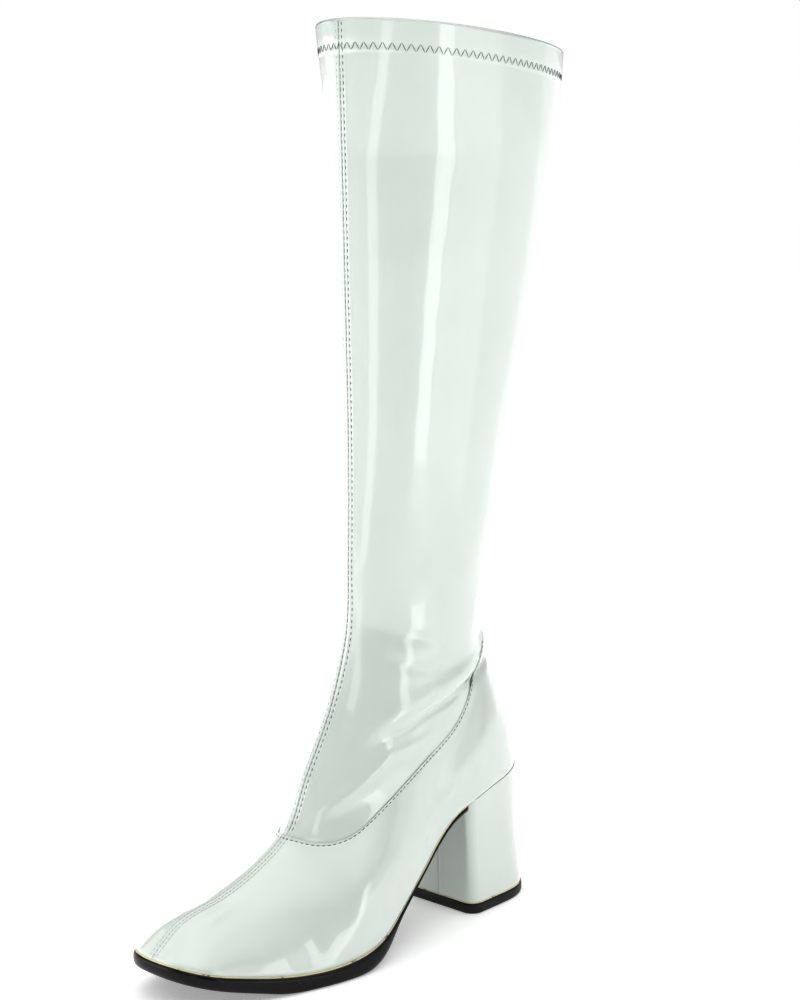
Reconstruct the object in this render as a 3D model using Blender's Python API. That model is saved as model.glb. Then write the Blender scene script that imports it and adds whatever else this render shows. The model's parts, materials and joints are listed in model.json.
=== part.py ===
"""A knee-high go go boot for the left foot: white patent upper, covered block heel, black sole.

Everything is worked out in millimetres. The toe points to -Y, the outer side of the foot is +X,
the floor is Z 0 and the back of the heel seat is near Y 0. The meshes are made in metres, and
the parent empty moves them so that the origin is under the middle of the boot.
"""

import bmesh
import bpy
import numpy as np

MM = 0.001

# Wall and clearances
WALL = 1.8
GLUE_GAP = 0.45
VAMP_STEP = 0.6
HEM_STEP = 0.4
HEM_DEPTH = 16.0

# Foot: its two ends along the floor, and how its outline rounds in to them
TOE_Y = -236.3
HEEL_Y = 4.0
TOE_ROUNDING = 19.0
TOE_POWER = 2.5
HEEL_ROUNDING = 34.0
HEEL_POWER = 2.2
INSTEP_HEIGHT = 170.0

# The forefoot's walls swell out by this share, most at half the swell height
WALL_SWELL = 0.033
SWELL_HEIGHT = 60.0

# Between these levels the foot's sections turn into the shaft's
BLEND_FROM = 0.45
BLEND_OVER = 0.9

# Share of the front and back profiles that lies below the vamp seam
SEAM_FRONT = 0.184
SEAM_BACK = 0.234
# The topmost stretch of both profiles is measured in millimetres, so that the hem has one depth
COLLAR_STRETCH = 20.0
COLLAR_LEVEL = 1.95

# Sole, heel and insole
BREAST_Y = -56.0
TOP_PIECE_HEIGHT = 6.0
TOP_PIECE_PROUD = 0.5
HEEL_WIDTH = 63.4
HEEL_LENGTH = 55.4
HEEL_BACK_Y = 1.7
HEEL_CORNER = 7.0
HEEL_HOLLOW = 1.2
HEEL_TURN_POWER = 2.6
HEEL_TURN_SHARE = 0.55
HEEL_LEVELS = (0, 0.03, 0.25, 0.5, 0.75, 1)
INSOLE_THICKNESS = 2.4
INSOLE_LIFT = 0.15


def table(columns, *rows):
    """A short table: each named column as an array, one row for each section."""
    values = np.array(rows, float)
    return {name: values[:, i] for i, name in enumerate(columns.split())}


# Where upper and sole meet, seen from the side
FEATHER = table(
    "y z",
    (-236.3, 22.6),
    (-215, 15.6),
    (-190, 9.8),
    (-165, 8.0),
    (-140, 11.2),
    (-115, 22.0),
    (-92, 37.2),
    (-66, 59.1),
    (-45, 65.1),
    (-20, 69.7),
    (4, 72.8),
)

# Sideways place of the foot's centre line, which swings inwards towards the toe
CENTRE = table(
    "y x",
    (-240, -13.9),
    (-228, -13.7),
    (-215, -12.5),
    (-200, -10.5),
    (-180, -8.1),
    (-158, -5.5),
    (-135, -2.9),
    (-112, -1.0),
    (-90, 0),
)

# Half widths of the sole's outline, measured from the centre line
OUTLINE = table(
    "y outer inner",
    (-236, 27.3, 21.5),
    (-220, 29.4, 24.4),
    (-205, 31.8, 27.9),
    (-180, 38.0, 34.0),
    (-158, 42.0, 37.4),
    (-135, 42.0, 37.6),
    (-110, 35.0, 31.6),
    (-85, 30.3, 28.4),
    (-55, 30.9, 29.8),
    (-25, 28.6, 28.4),
    (4, 27.9, 27.9),
)

# The centre seam down the front, from the toe tip to the collar
FRONT = table(
    "y z",
    (-236.3, 22.6),
    (-233.4, 25.4),
    (-227.5, 30.0),
    (-221.5, 34.4),
    (-212.5, 37.8),
    (-195.6, 41.8),
    (-168.5, 53.8),
    (-155.7, 63.0),
    (-141.3, 91.6),
    (-124.5, 124.1),
    (-113.2, 157.7),
    (-110.5, 198.8),
    (-109.2, 239.6),
    (-109.2, 350.0),
    (-110.0, 465.0),
)

# The seam down the back, from the heel seat to the collar
BACK = table(
    "y z",
    (3.2, 72.7),
    (-4.2, 100.0),
    (-14.6, 130.0),
    (-21.6, 165.0),
    (-16.9, 200.0),
    (-2.4, 250.0),
    (12.2, 300.0),
    (24.9, 350.0),
    (34.6, 400.0),
    (39.8, 449.5),
)

# Sections of ankle and shaft; a low front power gives a sharper front edge
SHAFT = table(
    "z half_width front_power",
    (100, 25.3, 1.8),
    (130, 26.0, 1.7),
    (165, 26.9, 1.5),
    (200, 30.0, 1.58),
    (250, 33.9, 1.72),
    (300, 38.1, 1.72),
    (350, 42.0, 1.73),
    (400, 45.8, 1.65),
    (445, 49.4, 1.95),
    (485, 52.9, 2.1),
)
BACK_POWER = 2.06

# Fullness of the forefoot's sections, from the toe to the instep
FULLNESS = table("y power", (-236, 1.36), (-170, 1.0), (-120, 1.94))

# How far the vamp seam hangs below a straight line from its front end to its back end
SEAM_DROP = table(
    "along drop",
    (0, 0),
    (0.05, 7),
    (0.11, 12.5),
    (0.18, 16),
    (0.27, 17),
    (0.38, 18),
    (0.50, 20.5),
    (0.62, 24),
    (0.72, 25.5),
    (0.80, 23),
    (0.87, 17),
    (0.94, 8.5),
    (1, 0),
)
SEAM_DROP_FADE = 0.35

# The outsole's underside: a toe spring, a flat tread on the floor, and the arch
UNDERSIDE = table(
    "y z",
    (-240, 16.4),
    (-228, 12.4),
    (-214, 7.6),
    (-200, 3.6),
    (-190, 1.1),
    (-180, 0),
    (-150, 0),
    (-142, 0.8),
    (-132, 4.6),
    (-115, 18.6),
    (-92, 35.6),
    (-66, 56.0),
    (-50, 60.6),
)

# How far the outsole stands out past the upper, from toe to heel breast
SOLE_REACH = table("y reach", (-240, 1.2), (-205, 1.7), (-150, 1.8), (-115, 0.8), (-56, 0.0))

# The outsole's edge, from its top to its tread: share of the thickness, and reach at that depth
SOLE_EDGE = table("depth reach", (0, -0.5), (0.12, 0), (0.5, 0.3), (0.82, -0.1), (1, -1.6))

# The top piece's edge, from its top to the floor: share of its height, and reach
TOP_PIECE_EDGE = table("depth reach", (0, -0.3), (0.12, 0), (0.75, 0), (1, -0.9))

# The insole's edge, from its underside to its top: share of the thickness, and reach
INSOLE_EDGE = table("height reach", (0, -1.4), (0.6, -1.9), (1, -3.0))

# Rings of the upper between feather line 0, vamp seam 1 and collar 2
LEVELS_BELOW_SEAM = (0, 0.045, 0.11, 0.19, 0.28, 0.37, 0.46, 0.55, 0.64, 0.73, 0.82, 0.91, 0.97, 0.996)
LEVELS_ABOVE_SEAM = (1.004, 1.03, 1.07, 1.12, 1.18, 1.25, 1.33, 1.42, 1.52, 1.62, 1.72, 1.82, 1.9)
UPPER_SIDE_POINTS = 28
SOLE_SIDE_POINTS = 40
FINE = 240

# Colour, roughness and coat of each material
PATENT = ((0.80, 0.87, 0.82), 0.12, 1.0)
BLACK_SOLE = ((0.012, 0.012, 0.013), 0.3, 0.2)
BLACK_RUBBER = ((0.015, 0.015, 0.016), 0.45, 0.0)
SOCK = ((0.78, 0.76, 0.70), 0.7, 0.0)


def cubic(xs, ys, at):
    """Reads a smooth curve through the points (xs, ys) at the given places."""
    step = np.diff(xs)
    rise = np.diff(ys) / step
    slope = np.empty(len(ys))
    slope[1:-1] = (rise[:-1] * step[1:] + rise[1:] * step[:-1]) / (step[1:] + step[:-1])
    slope[0] = 1.5 * rise[0] - 0.5 * slope[1]
    slope[-1] = 1.5 * rise[-1] - 0.5 * slope[-2]
    i = np.clip(np.searchsorted(xs, at, side="right") - 1, 0, len(xs) - 2)
    t = (at - xs[i]) / step[i]
    start = (2 * t**3 - 3 * t**2 + 1) * ys[i] + (t**3 - 2 * t**2 + t) * slope[i] * step[i]
    end = (3 * t**2 - 2 * t**3) * ys[i + 1] + (t**3 - t**2) * slope[i + 1] * step[i]
    return start + end


def lengths(points):
    """Distance along a line of points, from 0 at its first."""
    return np.append(0, np.cumsum(np.linalg.norm(np.diff(points, axis=0), axis=1)))


def evenly(points, count):
    """The same line with its points at even distances."""
    along = lengths(points)
    places = np.linspace(0, along[-1], count)
    return np.column_stack([np.interp(places, along, column) for column in points.T])


def profile(rows):
    """A smooth side profile of evenly spaced (y, z) points."""
    corners = np.column_stack([rows["y"], rows["z"]])
    along = lengths(corners)
    places = np.linspace(0, along[-1], 4 * FINE)
    return evenly(np.column_stack([cubic(along, column, places) for column in corners.T]), FINE)


def ease(t):
    t = np.clip(t, 0, 1)
    return t * t * (3 - 2 * t)


def feather(y):
    """Height of the line where upper and sole meet."""
    return cubic(FEATHER["y"], FEATHER["z"], np.clip(y, TOE_Y, HEEL_Y))


def centre(y):
    """Sideways place of the foot's centre line, which swings inwards towards the toe."""
    return cubic(CENTRE["y"], CENTRE["x"], np.clip(y, -240, -90))


def rising(line):
    """The stretch of the front profile whose top covers each y of the foot once."""
    kept = [line[0]]
    for point in line[line[:, 1] < INSTEP_HEIGHT]:
        if point[0] > kept[-1][0] + 1e-3:
            kept.append(point)
    return np.array(kept)


FRONT_LINE = profile(FRONT)
BACK_LINE = profile(BACK)
RIDGE = rising(FRONT_LINE)


def place_on(line, share):
    """The (y, z) point at a share of a profile's length."""
    shares = np.linspace(0, 1, len(line))
    return np.array([np.interp(share, shares, column) for column in line.T])


def ring_ends(level):
    """Front and back points of a ring: level 0 is the feather line, 1 the vamp seam, 2 the collar."""
    levels = (0, 1, COLLAR_LEVEL, 2)
    ends = []
    for line, seam in ((FRONT_LINE, SEAM_FRONT), (BACK_LINE, SEAM_BACK)):
        shares = (0, seam, 1 - COLLAR_STRETCH / lengths(line)[-1], 1)
        ends.append(place_on(line, np.interp(level, levels, shares)))
    return ends


def half_ring(level, side, shares):
    """Points of the upper's outer face on one side, at shares of the way from front to back."""
    front, back = ring_ends(level)
    y = front[0] + (back[0] - front[0]) * shares
    straight = front[1] + (back[1] - front[1]) * shares
    toe, heel = FRONT_LINE[0], BACK_LINE[0]
    below = feather(toe[0] + (heel[0] - toe[0]) * shares) - (toe[1] + (heel[1] - toe[1]) * shares)
    drop = cubic(SEAM_DROP["along"], SEAM_DROP["drop"], shares)
    to_seam = ease(level)
    past_seam = 1 - ease((level - 1) / SEAM_DROP_FADE)
    z = straight + (1 - to_seam) * below - to_seam * past_seam * drop

    floor = feather(y)
    above = np.clip(z - floor, 0, None)
    height = np.interp(y, RIDGE[:, 0], RIDGE[:, 1], right=1e4) - floor
    power = np.interp(y, FULLNESS["y"], FULLNESS["power"])
    narrowing = np.sqrt(1 - np.clip(above / np.maximum(height, 1e-3), 0, 1) ** power)
    half = cubic(OUTLINE["y"], OUTLINE["outer" if side > 0 else "inner"], np.clip(y, -236, HEEL_Y))
    toe_end = np.clip((y - toe[0]) / TOE_ROUNDING, 0, 1)
    heel_end = np.clip((back[0] - y) / HEEL_ROUNDING, 0, 1)
    rounded = (1 - (1 - toe_end) ** TOE_POWER) ** (1 / TOE_POWER)
    rounded = rounded * (1 - (1 - heel_end) ** HEEL_POWER) ** (1 / HEEL_POWER)
    swell = 1 + WALL_SWELL * np.sin(np.pi * np.clip(above / SWELL_HEIGHT, 0, 1))
    foot = half * rounded * narrowing * swell

    width = cubic(SHAFT["z"], SHAFT["half_width"], np.clip(z, 100, 485))
    sharp = np.interp(z, SHAFT["z"], SHAFT["front_power"])
    round_power = np.where(shares < 0.5, sharp, BACK_POWER)
    shaft = width * (1 - np.abs(2 * shares - 1) ** round_power) ** (1 / round_power)

    blend = ease((level - BLEND_FROM) / BLEND_OVER)
    x = foot * (1 - blend) + shaft * blend
    return np.column_stack([side * x + centre(y), y, z])


def even_half_ring(level, side, count):
    shares = (1 - np.cos(np.linspace(0, np.pi, FINE))) / 2
    return evenly(half_ring(level, side, shares), count)


def ring(level):
    """A whole ring, from the front seam along the outer side to the back and home on the inner side."""
    outer = even_half_ring(level, 1, UPPER_SIDE_POINTS + 1)
    inner = even_half_ring(level, -1, UPPER_SIDE_POINTS + 1)
    return np.vstack([outer, inner[-2:0:-1]])


def ring_normals(rings):
    """Outward directions on a stack of closed rings."""
    around = np.roll(rings, -1, axis=1) - np.roll(rings, 1, axis=1)
    up = np.gradient(rings, axis=0)
    out = np.cross(around, up)
    return out / np.linalg.norm(out, axis=2, keepdims=True)


def new_object(name, mesh, material, parent):
    mesh.materials.append(material)
    obj = bpy.data.objects.new(name, mesh)
    obj.parent = parent
    bpy.context.scene.collection.objects.link(obj)
    return obj


def make_material(name, finish):
    colour, roughness, coat = finish
    material = bpy.data.materials.new(name)
    material.use_nodes = True
    shader = material.node_tree.nodes["Principled BSDF"]
    shader.inputs["Base Color"].default_value = (*colour, 1)
    shader.inputs["Roughness"].default_value = roughness
    shader.inputs["Metallic"].default_value = 0
    shader.inputs["Coat Weight"].default_value = coat
    return material


def add_rings(bm, rings):
    """Closed rings of vertices, each joined to the next by a band of faces."""
    made = [[bm.verts.new(point * MM) for point in points] for points in rings]
    count = len(made[0])
    for lower, higher in zip(made, made[1:]):
        for i in range(count):
            j = (i + 1) % count
            bm.faces.new((lower[i], lower[j], higher[j], higher[i]))
    return made


def cap(bm, ring_verts, upwards):
    """Closes a ring whose two halves mirror each other, with strips straight across."""
    count = len(ring_verts)
    for i in range(count // 2):
        corners = [ring_verts[i], ring_verts[i + 1], ring_verts[-i - 1], ring_verts[-i]]
        if i == 0:
            corners = corners[:3]
        elif i + 1 == count - i - 1:
            corners = [corners[0], corners[1], corners[3]]
        bm.faces.new(corners[::-1] if upwards else corners)


def finish_mesh(bm, name, smooth_angle):
    bmesh.ops.recalc_face_normals(bm, faces=bm.faces)
    mesh = bpy.data.meshes.new(name)
    bm.to_mesh(mesh)
    bm.free()
    mesh.shade_smooth()
    mesh.set_sharp_from_angle(angle=smooth_angle)
    return mesh


def grown(points, reach):
    """A closed outline moved outwards in plan by the reach at each of its points."""
    along = np.roll(points, -1, axis=0) - np.roll(points, 1, axis=0)
    out = np.column_stack([along[:, 1], -along[:, 0]])
    out /= np.linalg.norm(out, axis=1, keepdims=True)
    if (out * (points[:, :2] - points[:, :2].mean(axis=0))).sum() < 0:
        out = -out
    moved = points.copy()
    moved[:, :2] += out * np.reshape(reach, (-1, 1))
    return moved


def at_height(outline, z):
    moved = outline.copy()
    moved[:, 2] = z
    return moved


def make_upper(material, parent):
    """One wall from the feather line to the collar, open at both ends."""
    hem_level = 2 - (2 - COLLAR_LEVEL) * HEM_DEPTH / COLLAR_STRETCH
    levels = (*LEVELS_BELOW_SEAM, *LEVELS_ABOVE_SEAM, hem_level - 0.002, hem_level + 0.002, 2)
    rings = np.array([ring(level) for level in levels])
    out = ring_normals(rings)
    out[-1, :, 2] = 0
    out[-1] /= np.linalg.norm(out[-1], axis=1, keepdims=True)
    below_seam = np.array([VAMP_STEP if level < 1 else 0 for level in levels])
    in_hem = np.array([HEM_STEP if level > hem_level else 0 for level in levels])
    outer = rings + out * (below_seam + in_hem)[:, None, None]
    inner = rings - out * (WALL + in_hem)[:, None, None]
    inner[-1, :, 2] = outer[-1, :, 2]
    outer[0, :, 2] = feather(outer[0, :, 1])
    inner[0, :, 2] = feather(inner[0, :, 1])
    bm = bmesh.new()
    outside = add_rings(bm, outer)
    inside = add_rings(bm, inner)
    count = len(outside[0])
    for edge in (0, -1):
        for i in range(count):
            j = (i + 1) % count
            bm.faces.new((outside[edge][i], outside[edge][j], inside[edge][j], inside[edge][i]))
    return new_object("upper", finish_mesh(bm, "upper", 0.8), material, parent)


def sole_outline(end_y, reach):
    """The feather line from the toe to end_y and back, moved out by the reach."""
    toe, heel = FRONT_LINE[0][0], BACK_LINE[0][0]
    stations = np.linspace(0, 1, SOLE_SIDE_POINTS) ** 1.5
    last = (end_y - toe) / (heel - toe)
    shares = np.append(stations[stations < last - 0.01], last)
    outer = half_ring(0, 1, shares)
    inner = half_ring(0, -1, shares)
    outline = np.vstack([outer, inner[-1:0:-1]])
    return grown(outline, reach(outline[:, 1]))


def make_outsole(material, parent):
    def reach_of(y):
        return VAMP_STEP + cubic(SOLE_REACH["y"], SOLE_REACH["reach"], y)

    end_y = BREAST_Y - GLUE_GAP
    rings = []
    for depth, reach in zip(SOLE_EDGE["depth"], SOLE_EDGE["reach"]):
        outline = sole_outline(end_y, lambda y, more=reach: reach_of(y) + more)
        outline[:, 1] = np.minimum(outline[:, 1], end_y)
        top = feather(outline[:, 1]) - GLUE_GAP
        under = np.maximum(cubic(UNDERSIDE["y"], UNDERSIDE["z"], outline[:, 1]), 0)
        rings.append(at_height(outline, top + (under - top) * depth))
    bm = bmesh.new()
    made = add_rings(bm, rings)
    cap(bm, made[0], upwards=True)
    cap(bm, made[-1], upwards=False)
    return new_object("outsole", finish_mesh(bm, "outsole", 0.6), material, parent)


def heel_half(width, back_y, back_side):
    """Half of a D outline: from the middle of the breast round its corner and along the side."""
    corner = np.linspace(0, np.pi / 2, 6)
    breast_end = width - HEEL_CORNER
    breast = np.column_stack([np.linspace(0, breast_end, 5), np.full(5, back_y)])
    turn_x = breast_end + HEEL_CORNER * np.sin(corner)
    turn_y = back_y + HEEL_CORNER * (1 - np.cos(corner))
    turn = np.column_stack([turn_x, turn_y])
    side = evenly(np.vstack([turn[-1:], back_side]), 14)
    return np.vstack([breast, turn[1:], side[1:]])


def both_sides(outer, inner):
    """A closed outline from an outer and an inner half that share their first and last points."""
    inner = inner * (-1, 1)
    return np.vstack([outer, inner[-2:0:-1]])


def heel_foot():
    """The heel's outline at the top piece: flat breast, sides and a round back."""
    width = HEEL_WIDTH / 2
    front_y = HEEL_BACK_Y - HEEL_LENGTH
    turn = np.linspace(0, np.pi / 2, 40)
    depth = HEEL_TURN_SHARE * HEEL_LENGTH
    back_x = width * np.cos(turn) ** (2 / HEEL_TURN_POWER)
    back_y = HEEL_BACK_Y - depth + depth * np.sin(turn) ** (2 / HEEL_TURN_POWER)
    half = heel_half(width, front_y, np.column_stack([back_x, back_y]))
    half[-1, 0] = 0
    return both_sides(half, half)


def heel_seat():
    """The heel's outline at the seat, under the upper's feather line."""
    toe, heel = FRONT_LINE[0][0], BACK_LINE[0][0]
    first = (BREAST_Y + HEEL_CORNER - toe) / (heel - toe)
    shares = first + (1 - first) * np.sin(np.linspace(0, np.pi / 2, FINE))
    halves = []
    for side in (1, -1):
        line = half_ring(0, side, shares)[:, :2] * (side, 1)
        half = heel_half(line[0, 0], BREAST_Y, line)
        half[-1, 0] = 0
        halves.append(half)
    outline = both_sides(*halves)
    outline = grown(np.column_stack([outline, np.zeros(len(outline))]), VAMP_STEP)[:, :2]
    outline[:, 1] = np.maximum(outline[:, 1], BREAST_Y)
    return outline


def make_heel_block(material, parent):
    seat, foot = heel_seat(), heel_foot()
    bottom = TOP_PIECE_HEIGHT + GLUE_GAP
    rings = []
    for share in HEEL_LEVELS:
        outline = seat + (foot - seat) * share
        outline = np.column_stack([outline, np.zeros(len(outline))])
        bow = -HEEL_HOLLOW * np.sin(np.pi * share)
        outline = grown(outline, bow)
        top = feather(outline[:, 1]) - GLUE_GAP
        rings.append(at_height(outline, top + (bottom - top) * share))
    bm = bmesh.new()
    made = add_rings(bm, rings)
    cap(bm, made[0], upwards=True)
    cap(bm, made[-1], upwards=False)
    return new_object("heel_block", finish_mesh(bm, "heel_block", 0.6), material, parent)


def make_top_piece(material, parent):
    foot = heel_foot()
    outline = np.column_stack([foot, np.zeros(len(foot))])
    rings = []
    for depth, reach in zip(TOP_PIECE_EDGE["depth"], TOP_PIECE_EDGE["reach"]):
        rings.append(at_height(grown(outline, TOP_PIECE_PROUD + reach), TOP_PIECE_HEIGHT * (1 - depth)))
    bm = bmesh.new()
    made = add_rings(bm, rings)
    cap(bm, made[0], upwards=True)
    cap(bm, made[-1], upwards=False)
    return new_object("heel_top_piece", finish_mesh(bm, "heel_top_piece", 0.6), material, parent)


def make_insole(material, parent):
    """A thin board inside the upper, along the whole foot."""
    heel = BACK_LINE[0][0]
    rings = []
    for height, reach in zip(INSOLE_EDGE["height"], INSOLE_EDGE["reach"]):
        outline = sole_outline(heel, lambda y, more=reach: np.full(len(y), more - WALL))
        raised = INSOLE_LIFT + INSOLE_THICKNESS * height
        rings.append(at_height(outline, feather(outline[:, 1]) + raised))
    bm = bmesh.new()
    made = add_rings(bm, rings)
    cap(bm, made[0], upwards=False)
    cap(bm, made[-1], upwards=True)
    return new_object("insole", finish_mesh(bm, "insole", 0.6), material, parent)


def under_the_middle(objects):
    """Where the parent goes, so that the origin is on the floor under the middle of the box."""
    corners = np.array([v.co for obj in objects for v in obj.data.vertices])
    middle = (corners.min(axis=0) + corners.max(axis=0)) / 2
    return (-middle[0], -middle[1], 0)


def main():
    for obj in list(bpy.data.objects):
        bpy.data.objects.remove(obj, do_unlink=True)
    boot = bpy.data.objects.new("boot", None)
    bpy.context.scene.collection.objects.link(boot)
    patent = make_material("white patent", PATENT)
    pieces = [
        make_upper(patent, boot),
        make_heel_block(patent, boot),
        make_outsole(make_material("black sole", BLACK_SOLE), boot),
        make_top_piece(make_material("black rubber", BLACK_RUBBER), boot),
        make_insole(make_material("sock lining", SOCK), boot),
    ]
    boot.location = under_the_middle(pieces)


main()
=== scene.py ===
# %% [markdown]
# # A knee-high go go boot in white patent
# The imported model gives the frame: five plain solids in metres, with the toe towards -Y, the
# outer side of the left foot towards +X and the floor at Z 0. This lesson dresses them: panels
# with seams and stitches, a glossy black sole, a covered heel, lining, light and a camera.

# %% Load the frame
import json
import math

import bmesh
import bpy
import numpy as np
from mathutils import Matrix, Vector

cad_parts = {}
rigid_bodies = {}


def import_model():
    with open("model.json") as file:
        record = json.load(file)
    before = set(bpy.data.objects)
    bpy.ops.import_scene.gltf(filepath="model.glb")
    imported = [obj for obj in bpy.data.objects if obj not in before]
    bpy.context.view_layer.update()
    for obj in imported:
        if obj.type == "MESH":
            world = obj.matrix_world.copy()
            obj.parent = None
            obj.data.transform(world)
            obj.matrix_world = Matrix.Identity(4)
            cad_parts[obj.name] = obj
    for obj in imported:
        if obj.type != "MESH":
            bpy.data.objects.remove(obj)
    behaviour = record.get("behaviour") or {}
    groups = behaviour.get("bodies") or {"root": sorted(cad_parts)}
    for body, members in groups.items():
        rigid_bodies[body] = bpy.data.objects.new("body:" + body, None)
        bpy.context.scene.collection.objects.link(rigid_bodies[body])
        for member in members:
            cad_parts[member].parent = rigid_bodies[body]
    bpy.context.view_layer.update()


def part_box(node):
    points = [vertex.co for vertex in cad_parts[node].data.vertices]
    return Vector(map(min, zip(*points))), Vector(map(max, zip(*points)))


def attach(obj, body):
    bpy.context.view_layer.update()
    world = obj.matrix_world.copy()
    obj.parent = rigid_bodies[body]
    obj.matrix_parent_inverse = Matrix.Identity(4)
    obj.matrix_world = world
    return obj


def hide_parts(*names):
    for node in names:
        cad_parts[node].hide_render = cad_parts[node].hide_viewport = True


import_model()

# %% [markdown]
# ## The camera
# The photograph was taken from in front of the outer side, a little above the knee of the boot.
# Its place, turn and lens were solved once from the boot's outline, and are kept here as numbers.
# Everything below is worked out in millimetres from the back of the heel seat, as a last maker
# does, so one shift brings it into the frame.

# %% Camera and millimetres
MM = 0.001
HEEL_BACK = 2.2  # the back of the heel's top piece, in the last maker's millimetres
SHIFT = np.array([0.0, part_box("heel_top_piece")[1].y / MM - HEEL_BACK, 0.0])

CAMERA_AT = np.array([662.9, -788.9, 394.6])
AZIMUTH, ELEVATION, ROLL = math.radians(42.777), math.radians(9.894), math.radians(-0.847)
LENS = 69.03

back = Vector((
    math.sin(AZIMUTH) * math.cos(ELEVATION),
    -math.cos(AZIMUTH) * math.cos(ELEVATION),
    math.sin(ELEVATION),
))
level_right = Vector((math.cos(AZIMUTH), math.sin(AZIMUTH), 0))
level_up = back.cross(level_right)
right = math.cos(ROLL) * level_right + math.sin(ROLL) * level_up
up = -math.sin(ROLL) * level_right + math.cos(ROLL) * level_up

camera = bpy.data.objects.new("camera", bpy.data.cameras.new("camera"))
bpy.context.scene.collection.objects.link(camera)
camera.matrix_world = Matrix.LocRotScale(
    Vector((CAMERA_AT + SHIFT) * MM), Matrix((right, up, back)).transposed().to_quaternion(), None
)
camera.data.sensor_width = 36
camera.data.lens = LENS
bpy.context.scene.camera = camera
print("camera at", [round(v, 3) for v in camera.location])

# %% [markdown]
# ## The last
# A boot's shape comes from its last: a side profile of the front and back seams, the outline of
# the sole and a section at each height. The tables below hold those few real sizes. A smooth
# curve through them gives every point between. A table is kept as one array for each column.

# %% Tables of sizes


def table(columns, *rows):
    """A short table: each named column as an array, one row for each section."""
    values = np.array(rows, float)
    return {name: values[:, i] for i, name in enumerate(columns.split())}


# %% [markdown]
# The foot is given by its feather line, where upper and sole meet, as seen from the side, by the
# line down its middle as seen from above, and by the sole's half widths on both sides of that
# line. The outer side is the fuller one.

# %% Sizes of the foot
FEATHER = table(
    "y z",
    (-236.3, 22.6), (-215, 15.6), (-190, 9.8), (-165, 8.0), (-140, 11.2), (-115, 22.0),
    (-92, 37.2), (-66, 59.1), (-45, 65.1), (-20, 69.7), (4, 72.8),
)
CENTRE = table(
    "y x",
    (-240, -13.9), (-228, -13.7), (-215, -12.5), (-200, -10.5), (-180, -8.1), (-158, -5.5),
    (-135, -2.9), (-112, -1.0), (-90, 0),
)
OUTLINE = table(
    "y outer inner",
    (-236, 27.3, 21.5), (-220, 29.4, 24.4), (-205, 31.8, 27.9), (-180, 38.0, 34.0),
    (-158, 42.0, 37.4), (-135, 42.0, 37.6), (-110, 35.0, 31.6), (-85, 30.3, 28.4),
    (-55, 30.9, 29.8), (-25, 28.6, 28.4), (4, 27.9, 27.9),
)
print("sole", max(OUTLINE["outer"] + OUTLINE["inner"]), "mm wide at the ball")

# %% [markdown]
# The leg is given by the centre seam down the front, the seam down the back, and the half width
# of the shaft at each height. Its sections are rounded by a power: 2 is an ellipse, and a lower
# power in front gives a sharper edge along the shin.

# %% Sizes of the leg
FRONT = table(
    "y z",
    (-236.3, 22.6), (-233.4, 25.4), (-227.5, 30.0), (-221.5, 34.4), (-212.5, 37.8),
    (-195.6, 41.8), (-168.5, 53.8), (-155.7, 63.0), (-141.3, 91.6), (-124.5, 124.1),
    (-113.2, 157.7), (-110.5, 198.8), (-109.2, 239.6), (-109.2, 350.0), (-110.0, 465.0),
)
BACK = table(
    "y z",
    (3.2, 72.7), (-4.2, 100.0), (-14.6, 130.0), (-21.6, 165.0), (-16.9, 200.0),
    (-2.4, 250.0), (12.2, 300.0), (24.9, 350.0), (34.6, 400.0), (39.8, 449.5),
)
SHAFT = table(
    "z half_width front_power",
    (100, 25.3, 1.8), (130, 26.0, 1.7), (165, 26.9, 1.5), (200, 30.0, 1.58), (250, 33.9, 1.72),
    (300, 38.1, 1.72), (350, 42.0, 1.73), (400, 45.8, 1.65), (445, 49.4, 1.95), (485, 52.9, 2.1),
)
BACK_POWER = 2.06
print("collar", FRONT["z"][-1], "mm up in front and", BACK["z"][-1], "mm behind")

# %% [markdown]
# The other sizes say how foot and leg are rounded and joined. The foot's sections are full at the
# instep and flatter at the toe. Toe and heel end in a rounded square. The curved vamp seam hangs
# in a bow from the instep to the back of the heel, and the foot's sections turn into the leg's
# round about that seam.

# %% Roundings and joins
FULLNESS = table("y power", (-236, 1.36), (-170, 1.0), (-120, 1.94))
SEAM_DROP = table(
    "along drop",
    (0, 0), (0.05, 7), (0.11, 12.5), (0.18, 16), (0.27, 17), (0.38, 18), (0.50, 20.5),
    (0.62, 24), (0.72, 25.5), (0.80, 23), (0.87, 17), (0.94, 8.5), (1, 0),
)
TOE_Y, HEEL_Y = FEATHER["y"][0], FEATHER["y"][-1]
TOE_ROUNDING, TOE_POWER = 19.0, 2.5
HEEL_ROUNDING, HEEL_POWER = 34.0, 2.2
INSTEP_HEIGHT, LEG_BLEND = 170.0, 30.0  # top of the foot's ridge, and the length over which it ends
WALL_SWELL, SWELL_HEIGHT = 0.033, 60.0  # the foot's sides stand out a little below this height
BLEND_FROM, BLEND_OVER = 0.45, 0.9  # from this level on, the foot's section turns into the leg's
SEAM_FRONT, SEAM_BACK = 0.184, 0.234  # shares of the front and back lines that lie below the vamp seam
SEAM_DROP_FADE = 0.35
COLLAR_STRETCH, COLLAR_LEVEL = 20.0, 1.95  # the last 20 mm below the collar are levels 1.95 to 2
print("foot", round(HEEL_Y - TOE_Y, 1), "mm long")

# %% [markdown]
# ## Smooth curves through the sizes
# A maker draws such lines with a bent spline. `cubic` does the same with a curve of the third
# degree between each pair of rows, whose slope is shared at every row. The other helpers measure
# along a line of points, and place new points on it at even distances.

# %% Smooth curves


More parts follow.
